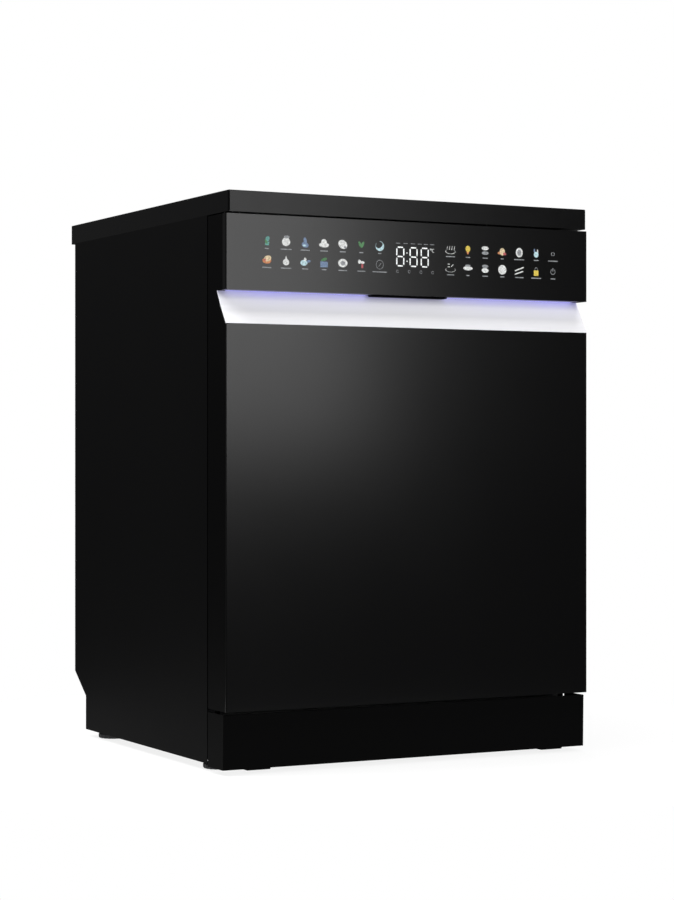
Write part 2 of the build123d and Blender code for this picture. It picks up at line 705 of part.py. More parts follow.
def tine_row(y):
    """A row of upright wires on a rod across the lower basket."""
    with BuildPart() as row:
        rod((0, y, tine_rod_z), 2.5, (tine_count - 1) * tine_pitch + 16.0, axis="X")
        with Locations((0, y, tine_rod_z + tine_high / 2)):
            with GridLocations(tine_pitch, 1.0, tine_count, 1):
                Box(wire, wire, tine_high)
    return row


axle_z = tub_floor_z + wheel_r + wheel_gap
wheel_x = basket_half + 10.0
wheel_rows = {"front": basket_front + wheel_first, "rear": basket_front + wheel_first + wheel_span}
hangers = []
for row_y in wheel_rows.values():
    for side in (-1, 1):
        with BuildPart() as hanger:
            leg = sorted((side * (basket_half - wire), side * basket_half))
            axle_end = wheel_x + wheel_wide / 2
            slab(leg, (row_y - 7.0, row_y + 7.0), (axle_z - 6.0, lower_floor_z))
            axle_mid = (side * (basket_half + axle_end) / 2, row_y, axle_z)
            rod(axle_mid, axle_r, axle_end - basket_half, axis="X")
        hangers.append(hanger)
save("lower_basket", *basket(lower_floor_z, lower_wall, basket_half), *hangers)

for row, row_y in wheel_rows.items():
    with BuildPart() as wheels:
        for side in (-1, 1):
            wheel_mid = (side * wheel_x, row_y, axle_z)
            rod(wheel_mid, wheel_r, wheel_wide, axis="X")
            rod(wheel_mid, axle_r + pin_fit, 2 * wheel_wide, axis="X", mode=Mode.SUBTRACT)
    save(f"lower_wheels_{row}", wheels)

tine_rod_z = lower_floor_z + wire + 3.0
save("lower_tines", *[tine_row(basket_front + basket_long * share) for share in (0.3, 0.42, 0.54)])
save("folding_tines", tine_row(basket_front + 0.78 * basket_long))

upper_half = basket_half - 4.0
rail_z = {"upper": upper_floor_z + 80.0, "tray": tray_z + 4.0}
slider_x = tub_half - 2 * rail_thick - clear
pipe_low = upper_floor_z - 8.0
feed_pipe = block((-16.0, 16.0), (basket_front + 6.0, basket_back - 2.0), (pipe_low, upper_floor_z))
with BuildPart() as arm_hub:
    rod((0, arm_y, pipe_low - 1.0), 11.0, 2.0)
    rod((0, arm_y, pipe_low - 6.0), spigot_pin_r, 8.0)
runners = []
runner_high = (rail_z["upper"] - 7.0, rail_z["upper"] + 7.0)
for side in (-1, 1):
    limits = sorted((side * upper_half, side * (slider_x - clear)))
    runners.append(block(limits, (basket_front, basket_back), runner_high))
save("upper_basket", *basket(upper_floor_z, upper_wall, upper_half), feed_pipe, arm_hub, *runners)

shelf_high = 90.0
shelf_z = upper_floor_z + wire + upper_wall - 18.0
shelf_x = upper_half - wire - 6.0
for side, side_name in ((-1, "left"), (1, "right")):
    with BuildPart() as cup_shelf:
        rod((side * shelf_x, 0, shelf_z), 3.0, 0.8 * basket_long, axis="Y")
        middle_x = side * (shelf_x - shelf_high / 2)
        shelf = wire_panel(Plane((middle_x, 0, shelf_z - wire / 2)), shelf_high, 0.76 * basket_long, 4, 9)
        add(shelf.part)
    save(f"cup_shelf_{side_name}", cup_shelf)

rail_front = basket_front
rail_back = basket_back + 6.0
with BuildPart() as fixed_rails:
    for level_z in rail_z.values():
        for side in (-1, 1):
            web = sorted((side * tub_half, side * (tub_half - rail_thick)))
            lip = sorted((side * (tub_half - rail_thick), side * slider_x))
            slab(web, (rail_front, rail_back), (level_z - rail_high / 2, level_z + rail_high / 2))
            for low in (level_z - rail_high / 2, level_z + rail_high / 2 - 3.0):
                slab(lip, (rail_front, rail_back), (low, low + 3.0))
save("fixed_rails", fixed_rails)

with BuildPart() as rail_sliders:
    for level_z in rail_z.values():
        for side in (-1, 1):
            bar = sorted((side * slider_x, side * (slider_x + rail_thick)))
            bar_high = (level_z - rail_high / 2 + 3.5, level_z + rail_high / 2 - 3.5)
            slab(bar, (rail_front, rail_back - 4.0), bar_high)
save("rail_sliders", rail_sliders)

tray_half = slider_x - clear
tray_floor = tray_z - 14.0
wall_low = tray_floor + wire
tray_inside = (basket_front + wire, basket_back - wire)
middle = (basket_front + basket_back) / 2
tray_pieces = [wire_panel(Plane((0, middle, tray_floor)), 2 * tray_half, basket_long, 18, 9)]
for y in (basket_front, basket_back - wire):
    tray_pieces.append(block((-tray_half, tray_half), (y, y + wire), (wall_low, wall_low + tray_wall)))
for x in (-tray_half, tray_half - wire):
    tray_pieces.append(block((x, x + wire), tray_inside, (wall_low, wall_low + tray_wall)))
for x in (-0.33 * tray_half, 0.33 * tray_half):
    tray_pieces.append(block((x - 1.5, x + 1.5), tray_inside, (wall_low, wall_low + 0.7 * tray_wall)))
save("cutlery_tray", *tray_pieces)

# ---------------------------------------------------------------- fasteners

screw_r = 3.6
with BuildPart() as screws:
    for side in (-1, 1):
        for share in (0.15, 0.5, 0.85):
            z = notch_high + share * (worktop_low - notch_high)
            rod((side * (panel_x - 8.0), panel_back + 1.0, z), screw_r, 2.0, axis="Y")
save("rear_screws", screws)
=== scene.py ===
import math

import bmesh
import bpy
import numpy as np
from mathutils import Euler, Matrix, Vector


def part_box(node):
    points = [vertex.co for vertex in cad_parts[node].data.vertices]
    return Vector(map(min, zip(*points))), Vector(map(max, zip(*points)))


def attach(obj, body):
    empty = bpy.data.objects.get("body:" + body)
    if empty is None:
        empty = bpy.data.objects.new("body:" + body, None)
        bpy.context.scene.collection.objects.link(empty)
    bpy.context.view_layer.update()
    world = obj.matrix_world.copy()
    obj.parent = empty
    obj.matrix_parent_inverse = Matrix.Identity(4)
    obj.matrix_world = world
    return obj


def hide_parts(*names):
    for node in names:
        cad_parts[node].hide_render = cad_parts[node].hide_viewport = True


bl_info = {
    "name": "Dishwasher looks",
    "version": (1, 0, 0),
    "blender": (4, 5, 0),
    "location": "3D View > Sidebar > Dishwasher",
    "description": "Finishes, baskets, seals and touch symbols for a 60 cm dishwasher",
    "category": "Object",
}

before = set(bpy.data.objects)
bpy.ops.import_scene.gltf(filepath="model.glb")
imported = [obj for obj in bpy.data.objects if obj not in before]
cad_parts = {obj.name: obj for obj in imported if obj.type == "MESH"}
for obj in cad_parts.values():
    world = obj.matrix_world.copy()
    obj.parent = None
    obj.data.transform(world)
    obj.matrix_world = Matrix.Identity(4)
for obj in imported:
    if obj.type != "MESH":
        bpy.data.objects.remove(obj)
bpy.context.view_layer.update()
MM = 0.001


def span(node):
    """A CAD node's lowest and highest corners as arrays."""
    low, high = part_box(node)
    return np.array(low), np.array(high)


def middle_of(low, high):
    return (np.asarray(low) + high) / 2


# ---------------------------------------------------------------- settings


def colour_setting(name, description, default):
    return bpy.props.FloatVectorProperty(
        name=name, description=description, subtype="COLOR", size=3, min=0.0, max=1.0, default=default)


def number_setting(name, description, default, low, high, **kind):
    return bpy.props.FloatProperty(
        name=name, description=description, min=low, max=high, default=default, **kind)


class BodySettings(bpy.types.PropertyGroup):
    """Colours and gloss of the outside."""
    black: colour_setting("Black", "Colour of the side panels, casing and plinth", (0.0027, 0.0027, 0.0028))
    gloss: colour_setting(
        "Gloss black", "Colour under the gloss of the door and worktop", (0.0011, 0.0011, 0.0012))
    door_rough: number_setting(
        "Door roughness", "How blurred the door's reflections are", 0.2, 0.0, 1.0, subtype="FACTOR")
    white: colour_setting("Recess white", "Colour of the finger recess", (0.55, 0.55, 0.57))


class GlowSettings(bpy.types.PropertyGroup):
    """The light bars under the fascia and the lit symbols."""
    # the tint also colours the painted glow on the finger recess
    tint: colour_setting("Light bar colour", "Colour of the two light bars", (0.28, 0.27, 0.68))
    power: number_setting("Light bar strength", "Brightness of the light bars", 1.2, 0.0, 50.0)
    symbols: number_setting("Symbol strength", "Brightness of the display and symbols", 0.2, 0.0, 5.0)


class BasketSettings(bpy.types.PropertyGroup):
    """Wire sizes of the baskets."""
    wire: number_setting("Wire radius", "Radius of a thin coated wire", 0.0016, 0.0005, 0.003, unit="LENGTH")
    rim: number_setting("Rim radius", "Radius of a rim wire", 0.0023, 0.001, 0.004, unit="LENGTH")
    pitch: number_setting("Wire pitch", "Distance between wires", 0.028, 0.01, 0.06, unit="LENGTH")


class StudioSettings(bpy.types.PropertyGroup):
    """Camera and soft lights."""
    lens: number_setting("Lens", "Focal length on a 36 mm sensor", 93.394, 10.0, 300.0)
    key: number_setting(
        "Key light", "Power of the panel that the door reflects", 107.0, 0.0, 2000.0, unit="POWER")
    top: number_setting("Top light", "Power of the panel above the object", 155.0, 0.0, 2000.0, unit="POWER")
    fill: number_setting("Side light", "Power of the panel at the left", 78.0, 0.0, 2000.0, unit="POWER")
    dim: number_setting("Surround", "Brightness of the studio that lights the object", 0.12, 0.0, 5.0)


# ---------------------------------------------------------------- shader expressions


class Wire:
    """A node's output, so that shader maths reads as an expression."""

    def __init__(self, finish, socket):
        self.finish = finish
        self.socket = socket

    def maths(self, operation, *values):
        links = dict(enumerate((self,) + values))
        return self.finish.node("ShaderNodeMath", {"operation": operation}, links)

    def __add__(self, other):
        return self.maths("ADD", other)

    def __sub__(self, other):
        return self.maths("SUBTRACT", other)

    def __mul__(self, other):
        return self.maths("MULTIPLY", other)

    def clamped(self):
        return self.maths("MAXIMUM", 0.0).maths("MINIMUM", 1.0)


class Finish:
    """A material whose nodes are written as calls."""

    def __init__(self, name, colour, rough, metal=0.0, **constants):
        self.material = bpy.data.materials.new(name)
        self.material.use_nodes = True
        self.tree = self.material.node_tree
        self.tree.nodes.clear()
        self.shader = self.tree.nodes.new("ShaderNodeBsdfPrincipled")
        output = self.tree.nodes.new("ShaderNodeOutputMaterial")
        self.tree.links.new(self.shader.outputs[0], output.inputs[0])
        self.feed({"Base Color": colour, "Roughness": rough, "Metallic": metal})
        self.feed({key.replace("_", " "): value for key, value in constants.items()})

    def feed(self, values, node=None):
        """Sets or links the sockets of a node, the shader unless another is named."""
        node = node or self.shader
        for key, value in values.items():
            socket = node.inputs[key]
            if isinstance(value, Wire):
                self.tree.links.new(value.socket, socket)
            elif socket.type == "RGBA" and len(value) == 3:
                socket.default_value = four(value)
            else:
                socket.default_value = value

    def node(self, kind, settings=None, inputs=None, output=0):
        """Adds any node: its settings first, then the values or links of its sockets."""
        node = self.tree.nodes.new(kind)
        for key, value in (settings or {}).items():
            if key == "stops":
                ramp = node.color_ramp.elements
                while len(ramp) < len(value):
                    ramp.new(0.5)
                for stop, (place, grey) in zip(ramp, value):
                    stop.position = place
                    stop.color = (grey, grey, grey, 1.0)
            else:
                setattr(node, key, value)
        self.feed(inputs or {}, node)
        return Wire(self, node.outputs[output])

    def place(self, scale=(1.0, 1.0, 1.0)):
        """Object coordinates, scaled."""
        coordinates = self.node("ShaderNodeTexCoord", output="Object")
        return self.node("ShaderNodeMapping", inputs={"Vector": coordinates, "Scale": scale})

    def noise(self, scale, detail=3.0, stretch=(1.0, 1.0, 1.0)):
        return self.node("ShaderNodeTexNoise", inputs={
            "Vector": self.place(stretch), "Scale": scale, "Detail": detail})

    def axis(self, name):
        """One coordinate of the object's own space."""
        coordinates = self.node("ShaderNodeTexCoord", output="Object")
        return self.node("ShaderNodeSeparateXYZ", inputs={0: coordinates}, output=name)

    def mix(self, factor, first, second):
        """A colour between two colours."""
        return self.node("ShaderNodeMix", {"data_type": "RGBA"}, {0: factor, 6: first, 7: second}, output=2)

    def bump(self, heights, distance, strength=1.0):
        self.feed({"Normal": self.node("ShaderNodeBump", inputs={
            "Height": heights, "Distance": distance, "Strength": strength})})
        return self

    def ramp(self, factor, *stops):
        return self.node("ShaderNodeValToRGB", {"stops": stops}, {0: factor})


FINISHES = {}


def four(colour):
    return (*tuple(colour)[:3], 1.0)


def finish(name):
    return FINISHES[name].material


def painted(name, colour, rough, level):
    """Powder paint: fine orange peel, and roughness that drifts over the panel."""
    wear = 0.06
    made = Finish(name, colour, rough, Specular_IOR_Level=level)
    made.feed({"Roughness": made.noise(7.0) * wear + (rough - wear / 2)})
    made.feed({"Base Color": made.mix(made.noise(3.0), four(colour), four(np.array(colour) * 1.25))})
    return made.bump(made.noise(1400.0, 2.0), 0.02 * MM, 0.35)


def plastic(name, colour, rough, grain=2600.0):
    """Moulded plastic: spark-eroded grain and a faint drift of colour."""
    made = Finish(name, colour, rough, Specular_IOR_Level=0.4)
    tone = made.noise(12.0)
    made.feed({"Base Color": made.mix(tone, four(colour), four(np.array(colour) * 0.88))})
    made.feed({"Roughness": made.noise(40.0) * 0.1 + (rough - 0.05)})
    return made.bump(made.noise(grain, 2.0), 0.03 * MM, 0.4)


def brushed(name, colour, rough, along="X"):
    """Rolled sheet: streaks drawn out along one axis, in roughness and in relief."""
    stretch = {"X": (2.0, 160.0, 160.0), "Z": (160.0, 160.0, 2.0), "Y": (160.0, 2.0, 160.0)}[along]
    made = Finish(name, colour, rough, 1.0)
    streaks = made.noise(6.0, 4.0, stretch)
    made.feed({"Roughness": streaks * 0.22 + (rough - 0.11)})
    made.feed({"Base Color": made.mix(streaks, four(np.array(colour) * 0.86), four(colour))})
    return made.bump(streaks, 0.02 * MM, 0.3)


def sheet_with_painted_shade_band(name, colour, rough, edge):
    """Rolled sheet whose part below an edge height is black: painted shade for the dark gap under the door.
    """
    made = brushed(name, colour, rough, "X")
    # mask: bare steel above the edge, black painted shade below it
    steel_above_painted_shade = ((made.axis("Z") - edge) * 500.0).clamped()
    streaks = made.noise(6.0, 4.0, (2.0, 160.0, 160.0))
    shade = made.mix(streaks, four(np.array(colour) * 0.86), four(colour))
    made.feed({"Base Color": made.mix(steel_above_painted_shade, (0.003, 0.003, 0.003, 1.0), shade), "Metallic": steel_above_painted_shade})
    return made


def zinc_spangle(name):
    """Galvanised sheet: pale crystals of uneven tone."""
    made = Finish(name, (0.46, 0.48, 0.5), 0.42, 0.9)
    cells = made.node("ShaderNodeTexVoronoi", inputs={"Vector": made.place(), "Scale": 95.0}, output="Color")
    tone = made.node("ShaderNodeSeparateColor", inputs={0: cells})
    made.feed({"Base Color": made.mix(tone, (0.40, 0.42, 0.44, 1.0), (0.56, 0.58, 0.6, 1.0))})
    made.feed({"Roughness": tone * 0.2 + 0.3})
    return made


def felt(name):
    """Pressed fibres: two scales of noise, rough and matt."""
    made = Finish(name, (0.12, 0.12, 0.125), 0.95)
    fibres = made.noise(900.0, 6.0, (1.0, 1.0, 0.25))
    made.feed({"Base Color": made.mix(fibres, (0.06, 0.06, 0.065, 1.0), (0.2, 0.2, 0.21, 1.0))})
    return made.bump(fibres, 0.4 * MM, 0.8)


def gloss_black(name, colour, rough, level):
    """Back-painted glass: a clear gloss with the faintest ripple."""
    made = Finish(name, colour, rough, Specular_IOR_Level=level)
    made.feed({"Roughness": made.noise(5.0) * 0.04 + (rough - 0.02)})
    return made.bump(made.noise(9.0, 1.0), 0.05 * MM, 0.15)


def recess_with_painted_glow(name, white, tint):
    """White satin moulding with painted light: a tinted glow painted down from its top edge for the light
    bars, and painted white light on its middle and upper part.
    """
    made = Finish(name, white, 0.42, Specular_IOR_Level=0.35)
    low, high = span("handle_recess")
    rise = (made.axis("Z") - float(low[2])) * float(1.0 / (high[2] - low[2]))
    # painted glow: a tinted band near the top edge, patchy along the width, standing for light from the bars
    top = made.ramp(rise, (0.35, 0.0), (0.75, 0.3), (1.0, 1.0))
    # painted light: white emission strongest around mid-height, brightening the part the fascia's overhang
    # shades
    soft = made.ramp(rise, (0.0, 0.1), (0.5, 0.55), (0.9, 0.4))
    sideways = made.node("ShaderNodeTexNoise", inputs={
        "Vector": made.place((5.5, 0.0, 0.0)), "Scale": 1.0, "Detail": 1.0})
    glow = (top * made.ramp(sideways, (0.35, 0.25), (0.6, 1.0))).clamped()
    spread = made.mix(soft, (0.0, 0.0, 0.0, 1.0), (1.0, 1.0, 1.0, 1.0))
    lit = four(np.array(tint) / max(tint))
    # this emission is painted light and painted glow, not a lamp
    made.feed({"Emission Color": made.mix(glow, spread, lit), "Emission Strength": 0.36})
    return made.bump(made.noise(1800.0, 2.0), 0.015 * MM, 0.3)


def lamp(name, colour, strength):
    """A lit lens: brighter in its middle bands, dimmer between its diodes."""
    made = Finish(name, tuple(0.3 + 0.5 * part for part in colour), 0.4)
    beads = made.noise(60.0, 1.0, (1.0, 0.0, 0.0))
    made.feed({"Emission Color": made.mix(beads, four(np.array(colour) * 0.7), four(colour)),
               "Emission Strength": strength})
    return made


def ink(name, colour, strength):
    """A printed and back-lit symbol, slightly uneven."""
    made = Finish(name, colour, 0.5, Specular_IOR_Level=0.1)
    tone = made.ramp(made.noise(700.0, 2.0), (0.35, 0.0), (0.62, 1.0))
    shade = made.mix(tone, four(np.array(colour) * 0.5), four(colour))
    made.feed({"Base Color": shade, "Emission Color": shade, "Emission Strength": strength})
    return made


def laminate(name, colour):
    """Black laminate on board: a fine pearl grain under a satin coat."""
    made = Finish(name, colour, 0.25, Specular_IOR_Level=0.1)
    grain = made.noise(2200.0, 3.0)
    made.feed({"Base Color": made.mix(grain, four(np.array(colour) * 0.8), four(np.array(colour) * 1.5))})
    made.feed({"Roughness": made.noise(30.0) * 0.06 + 0.22})
    return made.bump(grain, 0.03 * MM, 0.4)


INKS = {
    "white": (0.62, 0.63, 0.62),
    "grey": (0.24, 0.25, 0.26),
    "green": (0.08, 0.2, 0.09),
    "teal": (0.12, 0.3, 0.27),
    "blue": (0.16, 0.22, 0.33),
    "cyan": (0.42, 0.58, 0.62),
    "yellow": (0.62, 0.47, 0.08),
    "orange": (0.5, 0.2, 0.09),
    "cream": (0.62, 0.5, 0.32),
    "red": (0.42, 0.1, 0.11),
}


def make_finishes(settings):
    body, glow = settings.dishwasher_body, settings.dishwasher_glow
    black = tuple(body.black)
    made = {
        "door_gloss": gloss_black("door_gloss", tuple(body.gloss), body.door_rough, 0.16),
        "fascia_gloss": gloss_black("fascia_gloss", tuple(body.gloss), body.door_rough, 0.16),
        "panel_paint": painted("panel_paint", black, 0.5, 0.012),
        # the plinth's black is the panel black at half strength, a darker copy: painted shade for the plinth
        # under the door
        "plinth_paint_with_painted_shade": painted("plinth_paint_with_painted_shade", tuple(0.5 * part for part in black), 0.5, 0.012),
        "casing_paint": painted("casing_paint", tuple(0.6 * part for part in black), 0.5, 0.012),
        # this black also serves as painted shade on the crossbar and hinge parts
        "inner_paint_and_painted_shade": painted("inner_paint_and_painted_shade", tuple(0.6 * part for part in black), 0.6, 0.01),
        "worktop_laminate": laminate("worktop_laminate", tuple(body.gloss)),
        # the recess finish carries a painted glow and painted light as emission
        "recess_white_painted_glow": recess_with_painted_glow("recess_white_painted_glow", tuple(body.white), tuple(glow.tint)),
        "light_bar": lamp("light_bar", tuple(glow.tint), glow.power),
        "dark_plastic": plastic("dark_plastic", (0.02, 0.02, 0.022), 0.6),
        "grey_plastic": plastic("grey_plastic", (0.33, 0.35, 0.38), 0.45),
        "pale_plastic": plastic("pale_plastic", (0.62, 0.64, 0.66), 0.4),
        "blue_plastic": plastic("blue_plastic", (0.05, 0.13, 0.3), 0.42),
        "tub_steel": brushed("tub_steel", (0.62, 0.62, 0.63), 0.3, "Z"),
        "tub_floor_steel": brushed("tub_floor_steel", (0.6, 0.6, 0.61), 0.28, "Y"),
        # the liner's strip below the door's edge is painted shade
        "liner_steel_with_painted_shade": sheet_with_painted_shade_band("liner_steel_with_painted_shade", (0.64, 0.64, 0.65), 0.3, 0.0885),
        "rail_steel": brushed("rail_steel", (0.66, 0.66, 0.67), 0.24, "Y"),
        "zinc": zinc_spangle("zinc"),
        "felt": felt("felt"),
        "coated_wire": plastic("coated_wire", (0.36, 0.38, 0.41), 0.38, 1800.0),
        "rubber": plastic("rubber", (0.02, 0.02, 0.022), 0.75, 1500.0),
        "fine_mesh": brushed("fine_mesh", (0.5, 0.5, 0.51), 0.35, "X"),
        "display_white": ink("display_white", (0.8, 0.82, 0.82), glow.symbols * 2.4),
    }
    for name, colour in INKS.items():
        made[f"ink_{name}"] = ink(f"ink_{name}", colour, glow.symbols)
    FINISHES.update(made)


# ---------------------------------------------------------------- mesh makers


def add_piece(name, parts, body, slot, replaces=(), material=None, smooth=True):
    """Joins (points, faces) parts into one mesh on a body; its finish is the slot's unless one is named."""
    points, faces, start = [], [], 0
    for part_points, part_faces in parts:
        points.append(np.asarray(part_points, dtype=float).reshape(-1, 3))
        faces.extend([[int(i) + start for i in face] for face in part_faces])
        start += len(points[-1])
    mesh = bpy.data.meshes.new(name)
    mesh.from_pydata(np.concatenate(points).tolist(), [], faces)
    mesh.polygons.foreach_set("use_smooth", [smooth] * len(mesh.polygons))
    mesh.materials.append(finish(material or slot))
    mesh.update()
    if smooth:
        mesh.set_sharp_from_angle(angle=math.radians(40))
    piece = bpy.data.objects.new(name, mesh)
    bpy.context.scene.collection.objects.link(piece)
    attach(piece, body)
    if replaces:
        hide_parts(*replaces)
    return piece


def quads(rows, columns, wrap_rows=False, wrap_columns=True):
    """Faces of a grid of rows by columns points, numbered row by row."""
    i = np.arange(rows if wrap_rows else rows - 1)[:, None]
    j = np.arange(columns if wrap_columns else columns - 1)[None, :]
    i2, j2 = (i + 1) % rows, (j + 1) % columns
    corners = [i * columns + j, i * columns + j2, i2 * columns + j2, i2 * columns + j]
    return np.stack([np.broadcast_to(c, (i.shape[0], j.shape[1])).ravel() for c in corners], 1).tolist()


def tube(path, radius, sides=8, closed=False):
    """A wire: point = path(u) + radius * (cos v * side + sin v * up), side and up across the path."""
    path = np.asarray(path, dtype=float)
    if closed:
        along = np.roll(path, -1, 0) - np.roll(path, 1, 0)
    else:
        along = np.gradient(path, axis=0)
    along /= np.linalg.norm(along, axis=1)[:, None]
    spread = np.ptp(path, axis=0)
    fixed = np.eye(3)[int(np.argmin(spread))]
    side = np.cross(along, fixed)
    side /= np.linalg.norm(side, axis=1)[:, None]
    up = np.cross(side, along)
    turn = np.linspace(0, 2 * math.pi, sides, endpoint=False)
    ring = np.cos(turn)[None, :, None] * side[:, None] + np.sin(turn)[None, :, None] * up[:, None]
    points = (path[:, None] + radius * ring).reshape(-1, 3)
    rows = len(path)
    faces = [face[::-1] for face in quads(rows, sides, wrap_rows=closed)]
    if not closed:
        faces.append(list(range(sides)))
        faces.append(list(range(rows * sides - 1, (rows - 1) * sides - 1, -1)))
    return points, faces


def bend(corners, radius, steps=4, closed=False):
    """A path through corners, each turned by an arc: a quadratic curve between the two tangent points."""
    corners = np.asarray(corners, dtype=float)
    count = len(corners)
    path = []
    for k in range(count):
        here = corners[k]
        if not closed and k in (0, count - 1):
            path.append(here)
            continue
        before, after = corners[k - 1], corners[(k + 1) % count]
        to_before, to_after = before - here, after - here
        reach = min(radius, 0.45 * np.linalg.norm(to_before), 0.45 * np.linalg.norm(to_after))
        start = here + to_before / np.linalg.norm(to_before) * reach
        end = here + to_after / np.linalg.norm(to_after) * reach
        t = np.linspace(0, 1, steps + 1)[:, None]
        path.extend((1 - t) ** 2 * start + 2 * t * (1 - t) * here + t ** 2 * end)
    return np.array(path)


def lathe(profile, centre, axis="Z", sides=48):
    """A turned piece: a profile of (radius, height) carried round an axis through a centre."""
    profile = np.asarray(profile, dtype=float)
    turn = np.linspace(0, 2 * math.pi, sides, endpoint=False)
    radius, rise = profile[:, 0][:, None], np.broadcast_to(profile[:, 1][:, None], (len(profile), sides))
    a, b = radius * np.cos(turn), radius * np.sin(turn)
    stacks = {"Z": (a, b, rise), "Y": (b, rise, a), "X": (rise, a, b)}
    points = np.stack(stacks[axis], -1).reshape(-1, 3) + np.asarray(centre, dtype=float)
    faces = quads(len(profile), sides)
    faces.append(list(range(sides - 1, -1, -1)))
    faces.append(list(range((len(profile) - 1) * sides, len(profile) * sides)))
    return points, faces


def block(low, high, edge=0.0):
    """A box with its edges cut back: a section of eight sides along Z, closed by smaller caps."""
    low, high = np.asarray(low, dtype=float), np.asarray(high, dtype=float)
    e = min(edge, 0.3 * float((high - low).min()))
    rows = []
    for rise, inset in ((low[2], e), (low[2] + e, 0.0), (high[2] - e, 0.0), (high[2], e)):
        x0, y0, x1, y1 = low[0] + inset, low[1] + inset, high[0] - inset, high[1] - inset
        c = max(e, 1e-6)
        ring = [(x0 + c, y0), (x1 - c, y0), (x1, y0 + c), (x1, y1 - c), (x1 - c, y1), (x0 + c, y1),
                (x0, y1 - c), (x0, y0 + c)]
        rows.extend([(x, y, rise) for x, y in ring])
    faces = quads(4, 8)
    faces.append(list(range(7, -1, -1)))
    faces.append(list(range(24, 32)))
    return np.array(rows), faces


def plate(outline, y_front, thick):
    """A flat symbol on the fascia: an outline in X and Z, given a thickness along Y."""
    outline = np.asarray(outline, dtype=float)
    count = len(outline)
    area = np.sum(outline[:, 0] * np.roll(outline[:, 1], -1) - np.roll(outline[:, 0], -1) * outline[:, 1])
    if area < 0:
        outline = outline[::-1]
    front = np.stack([outline[:, 0], np.full(count, y_front), outline[:, 1]], 1)
    back = front + (0, thick, 0)
    faces = [list(range(count)), list(range(2 * count - 1, count - 1, -1))]
    faces += [[k, k + count, (k + 1) % count + count, (k + 1) % count] for k in range(count)]
    return np.concatenate([front, back]), faces


# ---------------------------------------------------------------- carried-over CAD nodes

FINISH_NODES = {
    "worktop_laminate": "worktop",
    "panel_paint": "side_panel_left side_panel_right",
    "plinth_paint_with_painted_shade": "plinth",
    "door_gloss": "door_glass",
    "fascia_gloss": "control_fascia",
    "recess_white_painted_glow": "handle_recess",
    "light_bar": "light_bars",
    # the front crossbar, hinge brackets and hinge arms get this black as painted shade for the dark gap
    # beside the door
    "inner_paint_and_painted_shade": "centre_grip front_crossbar hinge_brackets hinge_arms",
    "casing_paint": "door_casing",
    "dark_plastic": (
        "display_board base_tray wash_pump drain_pump mains_gland control_module door_lock"
        " foot_front_left foot_front_right foot_rear_left foot_rear_right"),
    "zinc": "rear_panel rear_screws",
    "tub_steel": "tub_wrapper tub_back tub_frame",
    "tub_floor_steel": "tub_floor",
    "grey_plastic": (
        "sump drain_spigot feed_tube dispenser micro_filter lower_spray_arm upper_spray_arm"
        " ceiling_spray_arm lower_wheels_front lower_wheels_rear"),
    "fine_mesh": "coarse_filter",
    "pale_plastic": "inlet_valve water_softener dispenser_lid",
    "rail_steel": "fixed_rails rail_sliders door_springs",
    "felt": "door_insulation",
    "liner_steel_with_painted_shade": "door_liner",
    "rubber": "lower_seal door_gasket",
    "blue_plastic": "rinse_cap salt_cap",
    "coated_wire": (
        "lower_basket lower_tines folding_tines upper_basket cup_shelf_left cup_shelf_right"
        " cutlery_tray"),
}
NODE_FINISH = {node: name for name, nodes in FINISH_NODES.items() for node in nodes.split()}


class DISHWASHER_OT_body(bpy.types.Operator):
    """Makes the finishes and gives every carried-over node its own"""
    bl_idname = "dishwasher.body"
    bl_label = "Body finishes"

    def execute(self, context):
        make_finishes(context.scene)
        for name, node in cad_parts.items():
            node.data.materials.clear()
            node.data.materials.append(finish(NODE_FINISH[name]))
        return {"FINISHED"}


# ---------------------------------------------------------------- touch symbols and display


def oval(x, z, wide, high, tilt=0.0, count=20):
    """Points of an ellipse, turned by a tilt in degrees."""
    t = np.linspace(0, 2 * math.pi, count, endpoint=False)
    a, b = wide / 2 * np.cos(t), high / 2 * np.sin(t)
    turn = math.radians(tilt)
    cos, sin = math.cos(turn), math.sin(turn)
    return np.stack([x + a * cos - b * sin, z + a * sin + b * cos], 1)


def bar(x0, z0, x1, z1, thick):
    """A straight stroke with pointed ends, as a six-sided outline."""
    start, end = np.array([x0, z0]), np.array([x1, z1])
    along = (end - start) / np.linalg.norm(end - start)
    out = np.array([-along[1], along[0]]) * thick / 2
    tip = along * thick / 2
    return np.array([start, start + tip + out, end - tip + out, end, end - tip - out, start + tip - out])


def ring(x, z, wide, high, thick, start=0.0, end=360.0, count=20):
    """Strokes that follow an ellipse between two angles."""
    t = np.radians(np.linspace(start, end, count + 1))
    px, pz = x + wide / 2 * np.cos(t), z + high / 2 * np.sin(t)
    return [bar(px[k], pz[k], px[k + 1], pz[k + 1], thick) for k in range(count)]


def crescent(x, z, size, tilt):
    """A moon: an outer arc back along a shifted inner arc."""
    t = np.radians(np.linspace(-150, 150, 16))
    outer = np.stack([np.cos(t), np.sin(t)], 1)
    inner = np.stack([0.62 * np.cos(t[::-1]) - 0.28, 0.84 * np.sin(t[::-1])], 1)
    turn = math.radians(tilt)
    spin = np.array([[math.cos(turn), math.sin(turn)], [-math.sin(turn), math.cos(turn)]])
    return np.concatenate([outer, inner]) @ spin * size / 2 + (x, z)


def poly(x, z, *points):
    return np.array(points, dtype=float) + (x, z)


def inked(shade, outlines):
    return [(shade, outline) for outline in outlines]


